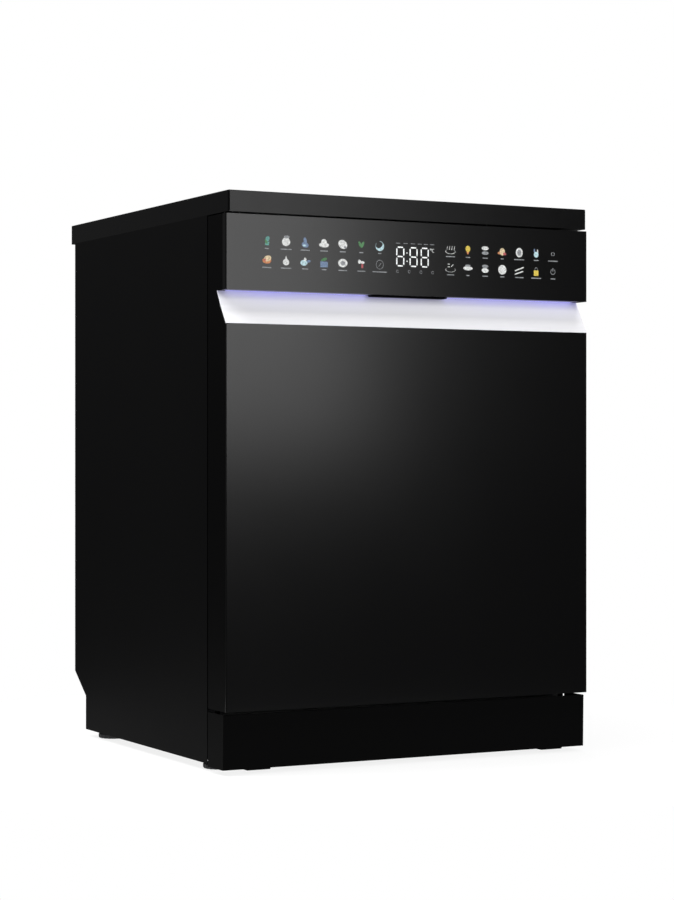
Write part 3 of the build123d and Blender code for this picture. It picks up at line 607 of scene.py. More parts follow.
def symbols_left_top(x, z):
    """Seven programme symbols of the upper left row, as (ink, outline) pairs in millimetres."""
    return [
        ("teal", oval(x[0] + 1, z + 3, 6, 8, -25)),
        ("teal", poly(x[0], z, (-3, -6), (3, -6), (4, -1), (-2, -1))),
        ("green", oval(x[0] - 1, z - 1, 3, 7, 30)),
        ("white", oval(x[1], z, 13, 12, 10)), ("grey", oval(x[1] + 1, z + 7, 9, 4)),
        ("blue", oval(x[2], z - 3, 11, 8, -15)), ("blue", oval(x[2], z + 3, 5, 9, 10)),
        ("cyan", oval(x[2] - 1, z - 4, 5, 3)),
        ("white", oval(x[3], z - 2, 16, 7)), ("white", oval(x[3], z + 2, 9, 9)),
        ("white", oval(x[4], z, 15, 12, -30)), ("grey", oval(x[4] + 4, z - 4, 5, 3, -30)),
        ("green", oval(x[5] - 2, z + 1, 4, 10, 25)), ("green", oval(x[5] + 2, z + 1, 4, 10, -25)),
        ("cyan", crescent(x[6], z, 14, -60)),
    ]


def symbols_left_low(x, z):
    """Seven programme symbols of the lower left row."""
    parts = [
        ("orange", oval(x[0], z - 1, 14, 8)), ("cream", oval(x[0] + 1, z + 2, 12, 8, 20)),
        ("red", oval(x[0] - 3, z, 4, 3)),
        ("white", oval(x[1], z - 2, 10, 9)), ("white", poly(x[1], z, (-3, 0), (0, 7), (3, 0))),
        ("cyan", oval(x[2] - 2, z - 2, 11, 8)), ("blue", bar(x[2] + 2, z, x[2] + 9, z + 1, 3)),
        ("white", oval(x[2], z + 3, 4, 5)),
        ("blue", poly(x[3], z, (-6, -7), (6, -7), (6, 1), (-6, 1))), ("green", oval(x[3], z + 4, 10, 4, 20)),
        ("white", oval(x[4], z, 15, 12)), ("grey", oval(x[4], z, 8, 6)),
        ("white", oval(x[5] - 3, z + 3, 5, 6)), ("white", oval(x[5] + 2, z + 2, 6, 4)),
        ("red", poly(x[5], z, (0, -6), (3, -6), (3, 0), (0, 0))),
    ]
    parts += inked("grey", ring(x[6], z, 12, 13, 0.7, count=14))
    parts.append(("grey", bar(x[6] - 2, z - 3, x[6] + 2, z + 2, 0.7)))
    return parts


def symbols_right_top(x, z):
    """Seven programme symbols of the upper right row."""
    parts = inked("white", ring(x[0], z - 3, 16, 7, 0.8, 150, 390))
    parts += inked("white", ring(x[0], z - 2, 18, 9, 0.6, 190, 350, 10))
    parts += [("white", bar(x[0] + shift, z - 1, x[0] + shift + 1, z + 5, 0.8)) for shift in (-6, -2, 2, 6)]
    parts += [
        ("yellow", oval(x[1], z + 2, 8, 9)),
        ("orange", poly(x[1], z, (-3, 0), (3, 0), (0.8, -6), (-0.8, -6))),
        ("white", oval(x[2], z + 4, 12, 6)), ("grey", oval(x[2], z - 3, 12, 5)),
        ("cream", oval(x[3], z, 9, 11)), ("red", oval(x[3] + 4, z - 3, 6, 4)),
        ("orange", oval(x[3] - 5, z - 2, 6, 4)),
        ("white", oval(x[4], z, 12, 14)), ("grey", oval(x[4], z, 7, 9)),
        ("cyan", oval(x[5], z - 2, 8, 9)), ("blue", bar(x[5] - 3, z + 1, x[5] - 3, z + 7, 2.2)),
        ("white", bar(x[5] + 3, z + 1, x[5] + 2, z + 6, 2)),
    ]
    for shift in (-3, 3):
        parts += [("grey", bar(x[6] + shift, z, x[6] + 0.3 * shift, z + 3, 1)),
                  ("grey", bar(x[6] + shift, z, x[6] + 0.3 * shift, z - 3, 1))]
    return parts


def symbols_right_low(x, z):
    """Seven function symbols of the lower right row."""
    parts = inked("white", ring(x[0], z - 3, 16, 7, 0.8, 150, 390))
    parts += inked("grey", ring(x[0], z - 2, 18, 9, 0.6, 190, 350, 10))
    parts += [("white", bar(x[0] - 5, z + 5, x[0] - 1, z + 5, 0.9)),
              ("white", bar(x[0] - 5, z + 1, x[0] - 1, z + 1, 0.9)),
              ("white", bar(x[0] + 1, z + 1, x[0] + 5, z + 5, 0.9))]
    parts += [
        ("white", oval(x[1], z, 16, 6)), ("grey", oval(x[1], z + 4, 9, 3)),
        ("grey", oval(x[2], z + 4, 11, 5)), ("white", oval(x[2], z - 2, 12, 7)),
        ("white", oval(x[3], z, 14, 14)),
        ("white", bar(x[4] - 8, z - 1, x[4] + 8, z + 5, 1.8)),
        ("white", bar(x[4] - 8, z - 6, x[4] + 7, z - 1, 1.8)),
        ("yellow", poly(x[5], z, (-4, -7), (4, -7), (4, 1), (-4, 1))),
    ]
    parts += inked("grey", ring(x[5], z + 1, 5, 9, 1, 0, 180, 8))
    parts += inked("grey", ring(x[6], z, 8, 8, 1, 115, 425, 12))
    parts.append(("grey", bar(x[6], z, x[6], z + 6, 1)))
    return parts


SEGMENTS = {  # the seven strokes of a digit, as ends on a unit cell two high
    "top": (0, 2, 1, 2), "middle": (0, 1, 1, 1), "bottom": (0, 0, 1, 0), "upper left": (0, 1, 0, 2),
    "upper right": (1, 1, 1, 2), "lower left": (0, 0, 0, 1), "lower right": (1, 0, 1, 1),
}


def display_strokes(low_z):
    """Three seven-stroke digits, a colon and a degree mark."""
    strokes = []
    wide, high = 11.5, 13.4
    for left in (-28.1, -6.1, 12.4):
        for x0, z0, x1, z1 in SEGMENTS.values():
            gap = 0.1
            dx, dz = gap * (x1 - x0), gap * (z1 - z0)
            strokes.append(bar(left + (x0 + dx) * wide, low_z + (z0 + dz) * high,
                               left + (x1 - dx) * wide, low_z + (z1 - dz) * high, 1.9))
    strokes += [oval(-11.3, low_z + rise, 1.9, 1.9, count=10) for rise in (7.0, 19.0)]
    strokes += ring(28.2, low_z + 25.6, 2.2, 2.2, 0.6, count=8)
    strokes += ring(32.4, low_z + 23.8, 4.0, 5.0, 0.7, 50, 310, 8)
    return strokes


class DISHWASHER_OT_fascia(bpy.types.Operator):
    """Adds the display and the two banks of touch symbols, with dashes where labels would be"""
    bl_idname = "dishwasher.fascia"
    bl_label = "Touch symbols"

    def execute(self, context):
        low, high = span("control_fascia")
        top = high[2] / MM
        rows = {"top": top - 36.5, "low": top - 63.0}
        left = [-236.0 + 30.0 * k for k in range(7)]
        right = [61.4 + 29.5 * k for k in range(7)]
        shapes = symbols_left_top(left, rows["top"]) + symbols_left_low(left, rows["low"])
        shapes += symbols_right_top(right, rows["top"]) + symbols_right_low(right, rows["low"])
        dashes = (
            (left, "top", (7, 18, 15, 13, 10, 7, 6)), (left, "low", (15, 17, 10, 8, 15, 13, 24)),
            (right, "top", (16, 8, 9, 6, 18, 9, 18)), (right, "low", (13, 6, 10, 8, 15, 18, 9)),
        )
        for places, row, widths in dashes:
            z = rows[row] - 10.5
            shapes += inked("grey", [bar(x - wide / 2, z, x + wide / 2, z, 1.5)
                                     for x, wide in zip(places, widths)])
        for x in (-26.2, -13.5, -1.4, 9.8, 20.2, 30.8):
            shapes.append(("grey", bar(x - 3.6, top - 31.0, x + 3.6, top - 31.0, 0.8)))
        for x in (-27.0, -7.5, 12.0, 31.5):
            shapes += inked("grey", ring(x, top - 71.5, 4.0, 4.0, 0.7, 20, 340, count=8))
        face = float(low[1]) - 0.05 * MM
        for colour in INKS:
            parts = [plate(outline * MM, face - 0.004 * MM * (k % 5), 0.08 * MM)
                     for k, (shade, outline) in enumerate(shapes) if shade == colour]
            add_piece(f"symbols_{colour}", parts, "door", "white_plastic", (), f"ink_{colour}", smooth=False)
        digits = [plate(outline * MM, face, 0.08 * MM) for outline in display_strokes(top - 63.5)]
        add_piece("display_digits", digits, "door", "lens", material="display_white", smooth=False)
        return {"FINISHED"}


# ---------------------------------------------------------------- baskets


def spaced(low, high, pitch):
    """Even places between two limits, about a pitch apart."""
    return np.linspace(low, high, max(2, round((high - low) / pitch) + 1))


def basket_wires(low, high, settings):
    """U-shaped wires both ways, a rim and two rails, inside a box."""
    wire, rim = settings.wire, settings.rim
    x0, y0, z0 = low + rim
    x1, y1, z1 = high - rim
    parts = []
    for x in spaced(x0 + 0.014, x1 - 0.014, settings.pitch):
        corners = [(x, y0, z1), (x, y0, z0 + wire), (x, y1, z0 + wire), (x, y1, z1)]
        parts.append(tube(bend(corners, 0.012), wire, 6))
    for y in spaced(y0 + 0.016, y1 - 0.016, settings.pitch * 1.25):
        corners = [(x0, y, z1), (x0, y, z0 + wire), (x1, y, z0 + wire), (x1, y, z1)]
        parts.append(tube(bend(corners, 0.012), wire, 6))
    for z, radius in ((z1, rim), (z0 + 0.42 * (z1 - z0), wire), (z0 + 0.72 * (z1 - z0), wire)):
        loop = [(x0, y0, z), (x1, y0, z), (x1, y1, z), (x0, y1, z)]
        parts.append(tube(bend(loop, 0.016, closed=True), radius, 8, closed=True))
    return parts


def grip(low, high, half_wide=0.075, half_high=0.011, deep=0.0075):
    """A moulded handle on a basket's front rim: a rounded bar and a finger scoop below its lip."""
    y, z = low[1] + 0.008, high[2] - 0.012
    return [block((-half_wide, y - deep, z - half_high), (half_wide, y, z + half_high), 2.5 * MM),
            block((0.006 - half_wide, y - deep - 0.0028, z + half_high - 0.006),
                  (half_wide - 0.006, y - deep + 0.001, z + half_high - 0.001), 1.2 * MM)]


def wheel(x, y, z, radius, wide):
    """A tyre profile turned about X, with a hub and a web between."""
    half = wide / 2
    profile = [(0.0032, -half), (0.007, -half), (0.0075, -half * 0.45), (radius * 0.72, -half * 0.4),
               (radius * 0.76, -half), (radius * 0.95, -half), (radius, -half * 0.6), (radius, half * 0.6),
               (radius * 0.95, half), (radius * 0.76, half), (radius * 0.72, half * 0.4),
               (0.0075, half * 0.45), (0.007, half), (0.0032, half)]
    sides = 28
    points, faces = lathe(profile, (x, y, z), "X", sides)
    last = (len(profile) - 1) * sides
    faces = faces[:-2]
    faces += [[last + k, last + (k + 1) % sides, (k + 1) % sides, k] for k in range(sides)]
    return points, faces


def tine_row(low, high, settings, count):
    """Upright wires with round tops on a rod across the basket."""
    y = (low[1] + high[1]) / 2
    z = low[2] + settings.rim
    parts = [tube([(low[0], y, z), (high[0], y, z)], settings.rim, 8)]
    for x in np.linspace(low[0] + 0.010, high[0] - 0.010, count):
        path = [(x, y, z), (x, y, high[2] - 0.012), (x, y + 0.0008, high[2] - 0.0024)]
        parts.append(tube(path, settings.wire, 6))
        parts.append(lathe([(settings.wire, -0.002), (settings.wire * 1.25, 0.0), (settings.wire, 0.0018),
                            (settings.wire * 0.4, 0.0024)], (x, y + 0.0008, high[2] - 0.0024), "Z", 8))
    return parts


class DISHWASHER_OT_lower_basket(bpy.types.Operator):
    """Makes the lower basket, its tines, wheels and handle in round coated wire"""
    bl_idname = "dishwasher.lower_basket"
    bl_label = "Lower basket"

    def execute(self, context):
        settings = context.scene.dishwasher_basket
        low, high = span("lower_basket")
        wheels = {row: span(f"lower_wheels_{row}") for row in ("front", "rear")}
        tines_low = span("lower_tines")[0]
        floor = tines_low[2] - 0.0045
        half = wheels["front"][1][0] - 0.0145
        box_low, box_high = np.array([-half, low[1], floor]), np.array([half, high[1], high[2]])
        parts = basket_wires(box_low, box_high, settings)
        for row in wheels.values():
            _, y, z = middle_of(*row)
            for side in (-1, 1):
                x_low, x_high = sorted((side * (half - 0.004), side * half))
                parts.append(block((x_low, y - 0.007, z - 0.006), (x_high, y + 0.007, floor + 0.004), 1 * MM))
                axle = [(0.0029, end) for end in sorted((0.0, side * 0.014))]
                parts.append(lathe(axle, (side * half, y, z), "X", 12))
        add_piece("lower_basket_wires", parts, "lower_rack", "coated_wire", ("lower_basket",))
        add_piece("lower_basket_grip", grip(low, high),
                  "lower_rack", "grey_plastic")
        for row, (wheel_low, wheel_high) in wheels.items():
            _, y, z = middle_of(wheel_low, wheel_high)
            radius, x = (wheel_high[2] - wheel_low[2]) / 2, wheel_high[0] - 0.0045
            parts = [wheel(side * x, y, z, radius, 0.009) for side in (-1, 1)]
            add_piece(f"basket_wheels_{row}", parts, f"{row}_wheels", "grey_plastic",
                      (f"lower_wheels_{row}",))
        tines_low, tines_high = span("lower_tines")
        parts = []
        for y in np.linspace(tines_low[1] + 0.0025, tines_high[1] - 0.0025, 3):
            row_low, row_high = tines_low.copy(), tines_high.copy()
            row_low[1] = row_high[1] = y
            parts += tine_row(row_low, row_high, settings, 16)
        add_piece("fixed_tine_rows", parts, "lower_rack", "coated_wire", ("lower_tines",))
        add_piece("folding_tine_row", tine_row(*span("folding_tines"), settings, 16), "folding_tines",
                  "coated_wire", ("folding_tines",))
        return {"FINISHED"}


class DISHWASHER_OT_upper_basket(bpy.types.Operator):
    """Makes the upper basket, its runners, feed pipe and two cup shelves"""
    bl_idname = "dishwasher.upper_basket"
    bl_label = "Upper basket"

    def execute(self, context):
        settings = context.scene.dishwasher_basket
        low, high = span("upper_basket")
        shelf_low, shelf_high = span("cup_shelf_right")
        half = shelf_high[0] + 0.007
        arm_top = span("upper_spray_arm")[1][2]
        floor = arm_top + 0.013
        parts = basket_wires(np.array([-half, low[1], floor]), np.array([half, high[1], high[2]]), settings)
        add_piece("upper_basket_wires", parts, "upper_rack", "coated_wire", ("upper_basket",))
        runner_z = span("rail_sliders")[0][2] + 0.0135
        parts = []
        for side in (-1, 1):
            x_low, x_high = sorted((side * half, side * (high[0] - 0.0002)))
            far_top = (x_high, high[1], runner_z + 0.007)
            parts.append(block((x_low, low[1], runner_z - 0.007), far_top, 1.5 * MM))
        add_piece("upper_basket_runners", parts, "upper_rack", "steel", material="rail_steel")
        hub_y = middle_of(*span("upper_spray_arm"))[1]
        parts = [block((-0.016, low[1] + 0.006, floor - 0.008), (0.016, high[1] - 0.002, floor), 2.5 * MM),
                 lathe([(0.011, -0.010), (0.011, 0.0)], (0.0, hub_y, floor), "Z", 32),
                 lathe([(0.0069, -0.018), (0.0069, -0.010)], (0.0, hub_y, floor), "Z", 32)]
        add_piece("upper_feed_pipe", parts, "upper_rack", "grey_plastic")
        add_piece("upper_basket_grip", grip(low, high),
                  "upper_rack", "grey_plastic")
        for side in ("left", "right"):
            shelf_low, shelf_high = span(f"cup_shelf_{side}")
            z = (shelf_low[2] + shelf_high[2]) / 2
            y0, y1 = shelf_low[1] + 0.006, shelf_high[1] - 0.006
            pivot = shelf_high[0] - 0.003 if side == "right" else shelf_low[0] + 0.003
            tip = shelf_low[0] + 0.002 if side == "right" else shelf_high[0] - 0.002
            loop = bend([(pivot, y0, z), (tip, y0, z), (tip, y1, z), (pivot, y1, z)], 0.014, closed=True)
            parts = [tube(loop, settings.rim * 0.85, 8, closed=True)]
            for y in spaced(y0 + 0.016, y1 - 0.016, 0.032):
                parts.append(tube([(pivot, y, z), (tip, y, z)], settings.wire, 6))
            parts.append(tube([(pivot, shelf_low[1], z), (pivot, shelf_high[1], z)], 0.0028, 10))
            add_piece(f"cup_shelf_wires_{side}", parts, f"cup_shelf_{side}", "coated_wire",
                      (f"cup_shelf_{side}",))
        return {"FINISHED"}


class DISHWASHER_OT_cutlery_tray(bpy.types.Operator):
    """Makes the cutlery tray: wire floor, rim, two dividers and combs"""
    bl_idname = "dishwasher.cutlery_tray"
    bl_label = "Cutlery tray"

    def execute(self, context):
        settings = context.scene.dishwasher_basket
        low, high = span("cutlery_tray")
        parts = basket_wires(low, high, settings)
        for share in (-0.33, 0.33):
            x = share * high[0]
            z_top = low[2] + 0.032
            divider = [(x, low[1] + 0.004, z_top), (x, high[1] - 0.004, z_top)]
            parts.append(tube(divider, settings.rim * 0.8, 8))
            for y in spaced(low[1] + 0.014, high[1] - 0.014, 0.018):
                parts.append(tube([(x, y, low[2] + 0.004), (x, y, z_top)], settings.wire * 0.8, 6))
        add_piece("cutlery_tray_wires", parts, "cutlery_tray", "coated_wire", ("cutlery_tray",))
        combs = []
        for x0, x1 in ((-0.24, -0.1), (0.1, 0.24)):
            for y in (low[1] + 0.10, low[1] + 0.25):
                combs.append(block((x0, y, low[2] + 0.004), (x1, y + 0.004, low[2] + 0.010), 1 * MM))
                for x in np.arange(x0 + 0.004, x1 - 0.006, 0.011):
                    tooth = (x + 0.003, y + 0.0032, low[2] + 0.026)
                    combs.append(block((x, y + 0.0008, low[2] + 0.009), tooth, 0.6 * MM))
        add_piece("cutlery_combs", combs, "cutlery_tray", "grey_plastic")
        return {"FINISHED"}


# ---------------------------------------------------------------- water pieces


def arm_blades(low, high, hub_r):
    """A two-bladed arm: an oval section swept along X, its width easing from hub to tip by a cosine."""
    middle = middle_of(low, high)
    reach, thick = (high[0] - low[0]) / 2, (high[2] - low[2]) / 2
    root, tip_share = hub_r * 0.78, 0.72
    s = np.linspace(-1, 1, 61)
    ease = 0.5 + 0.5 * np.cos(math.pi * np.abs(s))
    wide = root * (tip_share + (1 - tip_share) * ease)
    cap = np.sqrt(np.clip(1 - np.clip((np.abs(s) - 0.93) / 0.07, 0, 1) ** 2, 0.0004, 1))
    v = np.linspace(0, 2 * math.pi, 24, endpoint=False)
    section_y = np.sign(np.cos(v)) * np.abs(np.cos(v)) ** 0.6
    section_z = np.sign(np.sin(v)) * np.abs(np.sin(v)) ** 0.6
    height = thick * (0.62 + 0.3 * ease) * np.maximum(cap, 0.3)
    points = np.stack([
        np.broadcast_to((middle[0] + s * reach)[:, None], (61, 24)),
        middle[1] + (wide * cap)[:, None] * section_y[None, :],
        middle[2] + height[:, None] * section_z[None, :]], -1).reshape(-1, 3)
    faces = quads(61, 24)
    faces.append(list(range(23, -1, -1)))
    faces.append(list(range(60 * 24, 61 * 24)))
    return points, faces


def jets(low, high, shares):
    """Raised nozzles along both blades, each a small turned cone."""
    middle, reach = middle_of(low, high), (high[0] - low[0]) / 2
    top = high[2] - 0.0022
    profile = [(0.0055, -0.001), (0.0048, 0.0012), (0.003, 0.0018), (0.0022, 0.0006), (0.0004, 0.0004)]
    return [lathe(profile, (side * share * reach, middle[1] + 0.004 * side, top), "Z", 16)
            for side in (-1, 1) for share in shares]


class DISHWASHER_OT_spray_arms(bpy.types.Operator):
    """Makes the three spray arms as smooth blades with hubs and nozzles"""
    bl_idname = "dishwasher.spray_arms"
    bl_label = "Spray arms"

    def execute(self, context):
        for name in ("lower", "upper", "ceiling"):
            low, high = span(f"{name}_spray_arm")
            hub = (high[1] - low[1]) / 2
            centre = (0.0, middle_of(low, high)[1], 0.0)
            z0, z1 = low[2], high[2]
            profile = [(hub * 0.82, z0), (hub * 0.9, z0 + 0.0015), (hub * 0.9, z1 - 0.003),
                       (hub * 0.72, z1 - 0.0008), (hub * 0.35, z1 - 0.0003), (hub * 0.3, z1 - 0.0003)]
            turned = lathe(profile, centre, "Z", 48)
            parts = [arm_blades(low, high, hub), turned] + jets(low, high, (0.3, 0.45, 0.6, 0.75, 0.88))
            add_piece(f"{name}_arm_blades", parts, f"{name}_spray_arm", "grey_plastic",
                      (f"{name}_spray_arm",))
        return {"FINISHED"}


def ribbed_lathe(profile, centre, sides, ribs, depth):
    """A turned piece whose radius ripples: r * (1 + depth * cos(ribs * angle)) on its outer rows."""
    points, faces = lathe(profile, (0.0, 0.0, 0.0), "Z", sides)
    angle = np.arctan2(points[:, 1], points[:, 0])
    radius = np.hypot(points[:, 0], points[:, 1])
    outer = radius > 0.8 * radius.max()
    swell = 1 - depth * (0.5 + 0.5 * np.cos(ribs * angle)) * outer
    points[:, :2] *= swell[:, None]
    return points + np.asarray(centre), faces


class DISHWASHER_OT_caps(bpy.types.Operator):
    """Makes the salt cap, the filter cup with its ribs and bayonet grip, and the adjustable feet"""
    bl_idname = "dishwasher.caps"
    bl_label = "Caps, filter and feet"

    def execute(self, context):
        low, high = span("salt_cap")
        x, y, _ = middle_of(low, high)
        r, z = (high[0] - low[0]) / 2, low[2]
        rim = high[2] - 0.0100
        profile = [(r * 0.9, z), (r, z + 0.001), (r, rim - 0.002), (r * 0.93, rim),
                   (r * 0.5, rim + 0.0006), (0.001, rim + 0.0006)]
        parts = [ribbed_lathe(profile, (x, y, 0.0), 96, 24, 0.05),
                 block((x - r * 0.8, y - 0.004, rim - 0.001), (x + r * 0.8, y + 0.004, high[2]), 2 * MM)]
        add_piece("salt_cap_knob", parts, "salt_cap", "blue_plastic", ("salt_cap",))

        low, high = span("micro_filter")
        x, y, _ = middle_of(low, high)
        r = (high[0] - low[0]) / 2
        rim = high[2] - 0.014
        shell = [(r - 0.003, low[2]), (r, low[2]), (r, low[2] + 0.004), (r - 0.0012, low[2] + 0.005),
                 (r - 0.0012, rim - 0.005), (r, rim - 0.004), (r, rim), (r - 0.003, rim),
                 (r - 0.003, low[2] + 0.003), (0.001, low[2] + 0.003)]
        parts = [lathe(shell, (x, y, 0.0), "Z", 64)]
        across = r - 0.003
        parts += [block((x - across, y - 0.004, rim - 0.018), (x + across, y + 0.004, rim - 0.012), 1 * MM),
                  block((x - 0.018, y - 0.0035, rim - 0.014), (x + 0.018, y + 0.0035, high[2]), 2 * MM)]
        for t in np.linspace(0, 2 * math.pi, 12, endpoint=False):
            rib_x, rib_y = x + (r - 0.0008) * math.cos(t), y + (r - 0.0008) * math.sin(t)
            parts.append(tube([(rib_x, rib_y, low[2] + 0.004), (rib_x, rib_y, rim - 0.004)], 0.0008, 6))
        add_piece("micro_filter_cup", parts, "micro_filter", "grey_plastic", ("micro_filter",))

        for place in ("front_left", "front_right", "rear_left", "rear_right"):
            low, high = span(f"foot_{place}")
            x, y, _ = middle_of(low, high)
            r = (high[0] - low[0]) / 2
            profile = [(r - 0.0015, low[2]), (r, low[2] + 0.0015), (r, 0.006),
                       (r * 0.9, 0.008), (0.006, 0.008)]
            pad = ribbed_lathe(profile, (x, y, 0.0), 72, 18, 0.06)
            turns = np.linspace(0, 28 * 2 * math.pi, 28 * 12)
            rise = 0.009 + (high[2] - 0.011) * turns / turns[-1]
            thread = np.stack([x + 0.0048 * np.cos(turns), y + 0.0048 * np.sin(turns), rise], 1)
            stud = lathe([(0.0047, 0.007), (0.0047, high[2] - 0.001), (0.004, high[2])], (x, y, 0.0), "Z", 20)
            add_piece(f"foot_screw_{place}", [pad, stud, tube(thread, 0.0007, 5)], f"foot_{place}",
                      "dark_plastic", (f"foot_{place}",))
        return {"FINISHED"}


class DISHWASHER_OT_seals(bpy.types.Operator):
    """Makes the door gasket's lip, the balance springs and the rear screws"""
    bl_idname = "dishwasher.seals"
    bl_label = "Seals and springs"

    def execute(self, context):
        low, high = span("door_gasket")
        wide = 0.010
        x, top, y = high[0] - wide / 2, high[2] - wide / 2, high[1]
        deep = high[1] - low[1]
        path = bend([(-x, 0, low[2]), (-x, 0, top), (x, 0, top), (x, 0, low[2])], 0.034, 10)
        section = np.array([
            (-0.0046, 0.0), (0.0046, 0.0), (0.0046, 0.28), (0.003, 0.4), (0.0042, 0.62), (0.0034, 0.86),
            (0.001, 1.0), (-0.0012, 0.94), (-0.0005, 0.8), (-0.001, 0.55), (-0.0032, 0.4), (-0.0046, 0.3)])
        along = np.gradient(path, axis=0)
        along /= np.linalg.norm(along, axis=1)[:, None]
        out = np.cross(along, (0.0, 1.0, 0.0))
        points = path[:, None] + section[None, :, :1] * out[:, None] + np.array([0, 1.0, 0]) * (
            y - section[None, :, 1:] * deep)
        faces = quads(len(path), len(section))
        faces.append(list(range(len(section) - 1, -1, -1)))
        faces.append([(len(path) - 1) * len(section) + k for k in range(len(section))])
        gasket = add_piece("gasket_lip", [(points.reshape(-1, 3), faces)], "cabinet", "rubber",
                           ("door_gasket",))
        fix_normals(gasket)
        low, high = span("door_springs")
        radius = (high[2] - low[2]) / 2
        parts = []
        for side in (-1, 1):
            x, z = side * (high[0] - radius), (low[2] + high[2]) / 2
            turns = np.linspace(0, 42 * 2 * math.pi, 42 * 14)
            y = low[1] + 0.012 + (high[1] - low[1] - 0.024) * turns / turns[-1]
            coil = radius - 0.0012
            helix = np.stack([x + coil * np.cos(turns), y, z + coil * np.sin(turns)], 1)
            parts.append(tube(helix, 0.0011, 6))
            for end, step in ((low[1] + 0.012, -0.012), (high[1] - 0.012, 0.012)):
                hook = [(x + coil, end, z), (x, end + 0.5 * step, z), (x, end + step, z)]
                parts.append(tube(hook, 0.0011, 6))
        fix_normals(add_piece("balance_springs", parts, "cabinet", "steel", ("door_springs",), "rail_steel"))
        low, high = span("rear_screws")
        places = [low[2] + 0.0036, (low[2] + high[2]) / 2, high[2] - 0.0036]
        parts = []
        for side in (-1, 1):
            for z in places:
                x = side * (high[0] - 0.0036)
                profile = [(0.0036, low[1]), (0.0036, low[1] + 0.0006), (0.0026, high[1] - 0.0004),
                           (0.0012, high[1] - 0.0001), (0.0011, high[1] - 0.0009), (0.0002, high[1] - 0.0009)]
                parts.append(lathe(profile, (x, 0.0, z), "Y", 24))
        fix_normals(add_piece("panel_screws", parts, "cabinet", "zinc", ("rear_screws",)))
        return {"FINISHED"}


def fix_normals(piece):
    """Turns every face of a closed piece outwards."""
    mesh = bmesh.new()
    mesh.from_mesh(piece.data)
    bmesh.ops.recalc_face_normals(mesh, faces=mesh.faces)
    mesh.to_mesh(piece.data)
    mesh.free()


# ---------------------------------------------------------------- studio


CAMERA_PLACE = (-1.66454, -3.23396, 0.45375)
CAMERA_TURN = -27.6656  # degrees about Z
FLOOR_RADIUS = 0.8
FLOOR_SIDES = 96


def area_light(name, place, aim, size, power):
    """A soft rectangular panel at a place, turned to face a point."""
    light = bpy.data.lights.new(name, "AREA")
    light.shape = "RECTANGLE"
    light.size, light.size_y = size
    light.energy = power
    holder = bpy.data.objects.new(name, light)
    bpy.context.scene.collection.objects.link(holder)
    direction = np.array(aim, dtype=float) - np.array(place, dtype=float)
    flat = math.hypot(direction[0], direction[1])
    holder.location = place
    tilt, heading = math.atan2(flat, -direction[2]), math.atan2(-direction[0], direction[1])
    holder.rotation_euler = Euler((tilt, 0.0, heading))


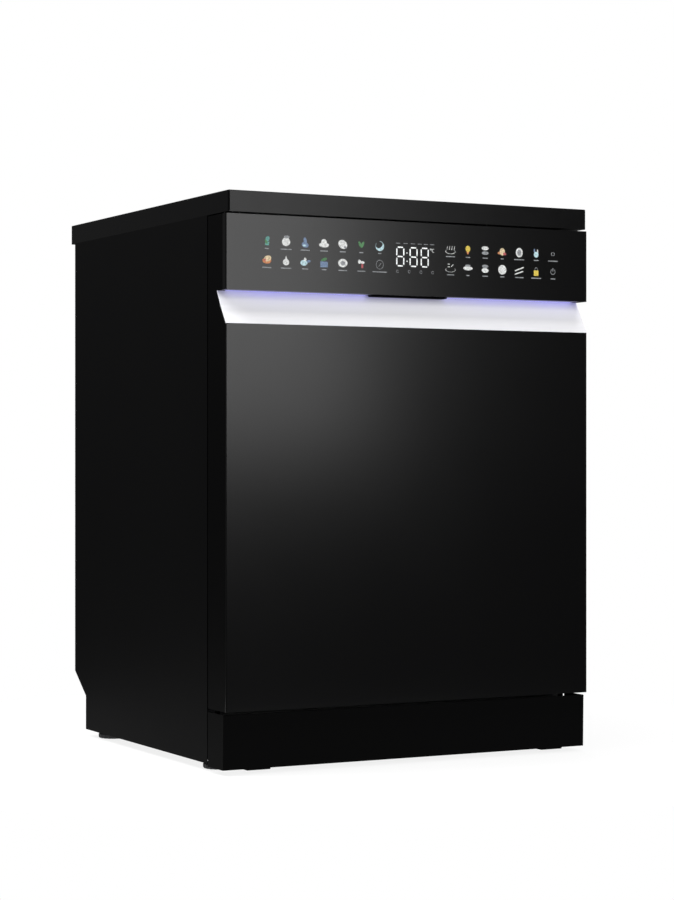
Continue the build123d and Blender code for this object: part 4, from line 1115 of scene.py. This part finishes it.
class DISHWASHER_OT_stage(bpy.types.Operator):
    """Adds the camera, the soft lights, the surround and the pale floor"""
    bl_idname = "dishwasher.stage"
    bl_label = "Stage"

    def execute(self, context):
        scene = context.scene
        studio = scene.dishwasher_studio
        camera = bpy.data.cameras.new("camera")
        camera.lens = studio.lens
        camera.sensor_width = 36.0
        holder = bpy.data.objects.new("camera", camera)
        scene.collection.objects.link(holder)
        holder.location = CAMERA_PLACE
        holder.rotation_euler = Euler((math.radians(90.0), 0.0, math.radians(CAMERA_TURN)))
        scene.camera = holder
        scene.view_settings.view_transform = "Standard"

        world = bpy.data.worlds.new("surround")
        world.use_nodes = True
        tree = world.node_tree
        sky, white = tree.nodes["Background"], tree.nodes.new("ShaderNodeBackground")
        sky.inputs[0].default_value = white.inputs[0].default_value = (1.0, 1.0, 1.0, 1.0)
        sky.inputs[1].default_value = studio.dim
        shown, chosen = tree.nodes.new("ShaderNodeLightPath"), tree.nodes.new("ShaderNodeMixShader")
        tree.links.new(shown.outputs["Is Camera Ray"], chosen.inputs[0])
        tree.links.new(sky.outputs[0], chosen.inputs[1])
        tree.links.new(white.outputs[0], chosen.inputs[2])
        tree.links.new(chosen.outputs[0], tree.nodes["World Output"].inputs[0])
        scene.world = world

        area_light("key_panel", (0.53, -3.3, 1.47), (0.53, 0.0, 1.47), (2.0, 2.0), studio.key)
        area_light("side_panel", (-1.6, 0.3, 2.2), (-0.3, 0.0, 0.7), (1.0, 1.0), studio.fill)
        area_light("top_panel", (0.0, 0.0, 3.2), (0.0, 0.0, 0.0), (3.0, 3.0), studio.top)

        pale = Finish("pale_floor", (0.12, 0.12, 0.12), 0.9, Specular_IOR_Level=0.0)
        pale.feed({"Roughness": pale.noise(2.0) * 0.05 + 0.87, "Emission Color": (1.0, 1.0, 1.0, 1.0),
                   "Emission Strength": 0.85})
        turn = np.linspace(0, 2 * math.pi, FLOOR_SIDES, endpoint=False)
        rim = np.stack([FLOOR_RADIUS * np.cos(turn), FLOOR_RADIUS * np.sin(turn), 0 * turn], 1)
        mesh = bpy.data.meshes.new("floor")
        mesh.from_pydata(rim.tolist(), [], [list(range(FLOOR_SIDES))])
        mesh.materials.append(pale.material)
        floor = bpy.data.objects.new("floor", mesh)
        scene.collection.objects.link(floor)
        return {"FINISHED"}


# ---------------------------------------------------------------- panel and registration

STEPS = (
    "body", "fascia", "lower_basket", "upper_basket", "cutlery_tray", "spray_arms", "caps", "seals", "stage")


class DISHWASHER_PT_panel(bpy.types.Panel):
    """Lists the settings and the steps"""
    bl_idname = "DISHWASHER_PT_panel"
    bl_label = "Dishwasher"
    bl_space_type = "VIEW_3D"
    bl_region_type = "UI"
    bl_category = "Dishwasher"

    def draw(self, context):
        for group in SETTINGS:
            held = getattr(context.scene, group)
            for key in held.bl_rna.properties.keys():
                if key not in ("name", "rna_type"):
                    self.layout.prop(held, key)
        for step in STEPS:
            self.layout.operator(f"dishwasher.{step}")


SETTINGS = {
    "dishwasher_body": BodySettings,
    "dishwasher_glow": GlowSettings,
    "dishwasher_basket": BasketSettings,
    "dishwasher_studio": StudioSettings,
}
CLASSES = (
    *SETTINGS.values(), DISHWASHER_OT_body, DISHWASHER_OT_fascia, DISHWASHER_OT_lower_basket,
    DISHWASHER_OT_upper_basket, DISHWASHER_OT_cutlery_tray, DISHWASHER_OT_spray_arms, DISHWASHER_OT_caps,
    DISHWASHER_OT_seals, DISHWASHER_OT_stage, DISHWASHER_PT_panel,
)


def register():
    for made in CLASSES:
        bpy.utils.register_class(made)
    for name, group in SETTINGS.items():
        setattr(bpy.types.Scene, name, bpy.props.PointerProperty(type=group))


def unregister():
    for name in SETTINGS:
        delattr(bpy.types.Scene, name)
    for made in reversed(CLASSES):
        bpy.utils.unregister_class(made)


def main():
    register()
    for step in STEPS:
        getattr(bpy.ops.dishwasher, step)()


if __name__ == "__main__":
    main()
